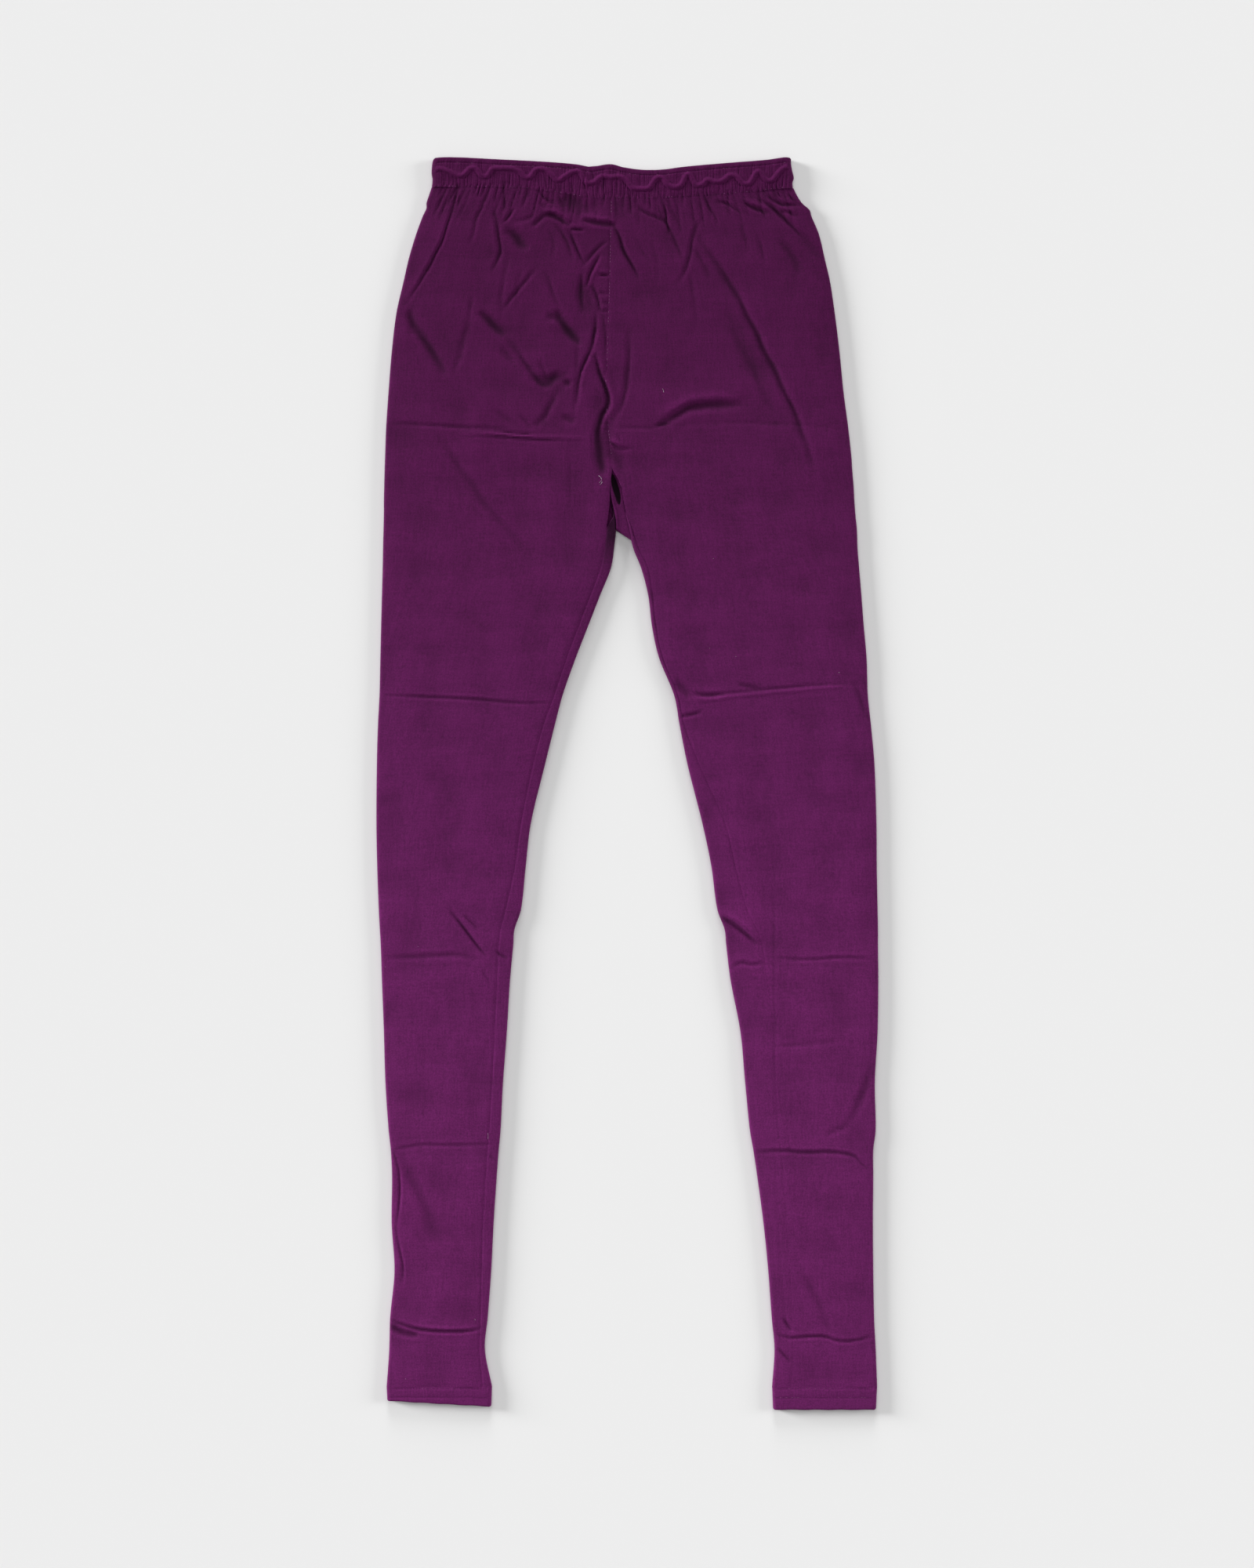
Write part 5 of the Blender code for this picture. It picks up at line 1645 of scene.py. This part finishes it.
class CHURIDAR_OT_stitching(Operator):
    """Sews the casing, the centre front seam and the hems"""

    bl_idname = "churidar.stitching"
    bl_label = "Stitching"

    def execute(self, context):
        cloth = scene_cloth()
        thread = find_material(
            "plum_thread", thread_material, tuple(cloth.thread), tuple(cloth.faded_thread)
        )

        def casing_top(x, down):
            share = np.where(down > upper_stitch(x) + 3.0, 0.97, 0.3)
            return casing_height(x, down, share) - 0.06

        def hem_top(x, down):
            return hem_height(x, np.full(x.shape, 0.5), down) - 0.05

        lines = []
        for start, end in CASING_SEWN:
            x = np.arange(start, end, SEW_STEP)
            for down in (curve(WAIST_BOTTOM, x) - LOWER_STITCH, upper_stitch(x)):
                lines.append(np.stack([x, down], axis=-1))
        sew_lines(CASING_SEWING, lines, casing_top, thread)

        down = np.arange(*CENTRE_SEWN, SEW_STEP)
        seam = outline(LEFT_LEG, down)[1]
        lines = [np.stack([seam + BESIDE_SEAM, down], axis=-1)]
        sew_lines(CENTRE_SEWING, lines, centre_front_height, thread)

        lines = []
        for start, end, row in HEM_ROWS:
            x = np.arange(start, end, SEW_STEP)
            lines.append(np.stack([x, np.full(x.shape, row)], axis=-1))
        sew_lines(HEM_SEWING, lines, hem_top, thread)
        return {"FINISHED"}


class CHURIDAR_OT_lint(Operator):
    """Scatters the few pale fibres that cling to the cotton"""

    bl_idname = "churidar.lint"
    bl_label = "Lint"

    def execute(self, context):
        lint = find_material("pale_lint", thread_material, (0.3, 0.2, 0.28), (0.6, 0.5, 0.58))
        starts, ends = [], []
        for fibre in LINT:
            for here, there in zip(fibre, fibre[1:]):
                starts.append(rest_on_front(*here))
                ends.append(rest_on_front(*there))
        piece, per_fibre = make_threads("lint_fibres", starts, ends, LINT_RADIUS, lint, 0.05)
        set_fade(piece, len(starts), per_fibre, 41, 0.5)
        return {"FINISHED"}


class CHURIDAR_OT_stage(Operator):
    """Lays the pale floor, lights it softly and hangs the camera above"""

    bl_idname = "churidar.stage"
    bl_label = "Stage"

    def execute(self, context):
        stage = context.scene.churidar_stage
        build_floor(tuple(stage.floor))
        build_lights(stage.sky)
        build_camera(stage.camera_height, stage.lens)
        return {"FINISHED"}


# Half the floor's width, and how far below the garment it lies, in metres
FLOOR_HALF = 6.0
FLOOR_DROP = 0.0003

# The garment's point that the camera looks down at, and the width of its sensor
VIEW_CENTRE = (0.0, 518.7, 0.0)
SENSOR_WIDTH = 36.0


def build_floor(colour):
    """The pale floor under the garment."""
    data = bpy.data.meshes.new("studio_floor")
    signs = ((-1, -1), (1, -1), (1, 1), (-1, 1))
    corners = [(FLOOR_HALF * x, FLOOR_HALF * y, -FLOOR_DROP) for x, y in signs]
    data.from_pydata(corners, [], [(0, 1, 2, 3)])
    material = bpy.data.materials.new("pale_floor")
    material.use_nodes = True
    shader = material.node_tree.nodes["Principled BSDF"]
    shader.inputs["Base Color"].default_value = (*colour, 1.0)
    shader.inputs["Roughness"].default_value = 1.0
    shader.inputs["Specular IOR Level"].default_value = 0.0
    data.materials.append(material)
    floor = bpy.data.objects.new("studio_floor", data)
    bpy.context.scene.collection.objects.link(floor)
    floor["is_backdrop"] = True


# Soft lights: where each comes from, how wide it is, and its share of the floor's light
Softbox = namedtuple("Softbox", "name azimuth elevation width share")
SOFTBOXES = [Softbox(*row) for row in (
    ("left_softbox", 162.0, 12.0, 17.0, 0.30),
    ("right_softbox", 8.0, 15.0, 20.0, 0.14),
    ("upper_softbox", 92.0, 13.0, 20.0, 0.13),
    ("overhead_softbox", 90.0, 86.0, 70.0, 0.22),
)]


def build_lights(sky):
    """The even glow all round and the soft lights."""
    scene = bpy.context.scene
    world = bpy.data.worlds.new("studio_glow")
    world.use_nodes = True
    background = world.node_tree.nodes["Background"]
    background.inputs["Color"].default_value = (1.0, 1.0, 1.0, 1.0)
    background.inputs["Strength"].default_value = sky
    scene.world = world
    for box in SOFTBOXES:
        light = bpy.data.lights.new(box.name, "SUN")
        light.angle = radians(box.width)
        light.energy = box.share * pi / sin(radians(box.elevation))
        lamp = bpy.data.objects.new(box.name, light)
        lamp.rotation_euler = (0.0, radians(90.0 - box.elevation), radians(box.azimuth))
        scene.collection.objects.link(lamp)
    scene.view_settings.view_transform = "Standard"


def build_camera(height, lens):
    """The camera straight above the middle of the view."""
    camera = bpy.data.cameras.new("overhead_camera")
    camera.lens = lens
    camera.sensor_width = SENSOR_WIDTH
    holder = bpy.data.objects.new("overhead_camera", camera)
    centre = to_world([VIEW_CENTRE])[0]
    holder.location = (centre[0], centre[1], height)
    bpy.context.scene.collection.objects.link(holder)
    bpy.context.scene.camera = holder


class CHURIDAR_PT_pieces(Panel):
    """Lists the sizes and colours, and a button for each group of pieces"""

    bl_idname = "CHURIDAR_PT_pieces"
    bl_label = "Churidar trousers"
    bl_space_type = "VIEW_3D"
    bl_region_type = "UI"
    bl_category = "Churidar"

    def draw(self, context):
        layout = self.layout
        for group in (context.scene.churidar_cloth, context.scene.churidar_stage):
            for name in group.__annotations__:
                layout.prop(group, name)
        for operator in OPERATORS:
            layout.operator(operator.bl_idname)


OPERATORS = (
    CHURIDAR_OT_legs,
    CHURIDAR_OT_casings,
    CHURIDAR_OT_gusset,
    CHURIDAR_OT_hems,
    CHURIDAR_OT_stitching,
    CHURIDAR_OT_lint,
    CHURIDAR_OT_stage,
)
CLASSES = (ChuridarCloth, ChuridarStage, *OPERATORS, CHURIDAR_PT_pieces)


def register():
    for item in CLASSES:
        bpy.utils.register_class(item)
    bpy.types.Scene.churidar_cloth = PointerProperty(type=ChuridarCloth)
    bpy.types.Scene.churidar_stage = PointerProperty(type=ChuridarStage)


def unregister():
    del bpy.types.Scene.churidar_stage
    del bpy.types.Scene.churidar_cloth
    for item in reversed(CLASSES):
        bpy.utils.unregister_class(item)


def main():
    register()
    bpy.ops.churidar.legs()
    bpy.ops.churidar.casings()
    bpy.ops.churidar.gusset()
    bpy.ops.churidar.hems()
    bpy.ops.churidar.stitching()
    bpy.ops.churidar.lint()
    bpy.ops.churidar.stage()
    boxes = {"cad": [list(corner) for corner in CAD_BOX]}
    boxes["visual"] = [list(corner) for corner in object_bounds()]
    dumps(boxes)


if __name__ == "__main__":
    main()
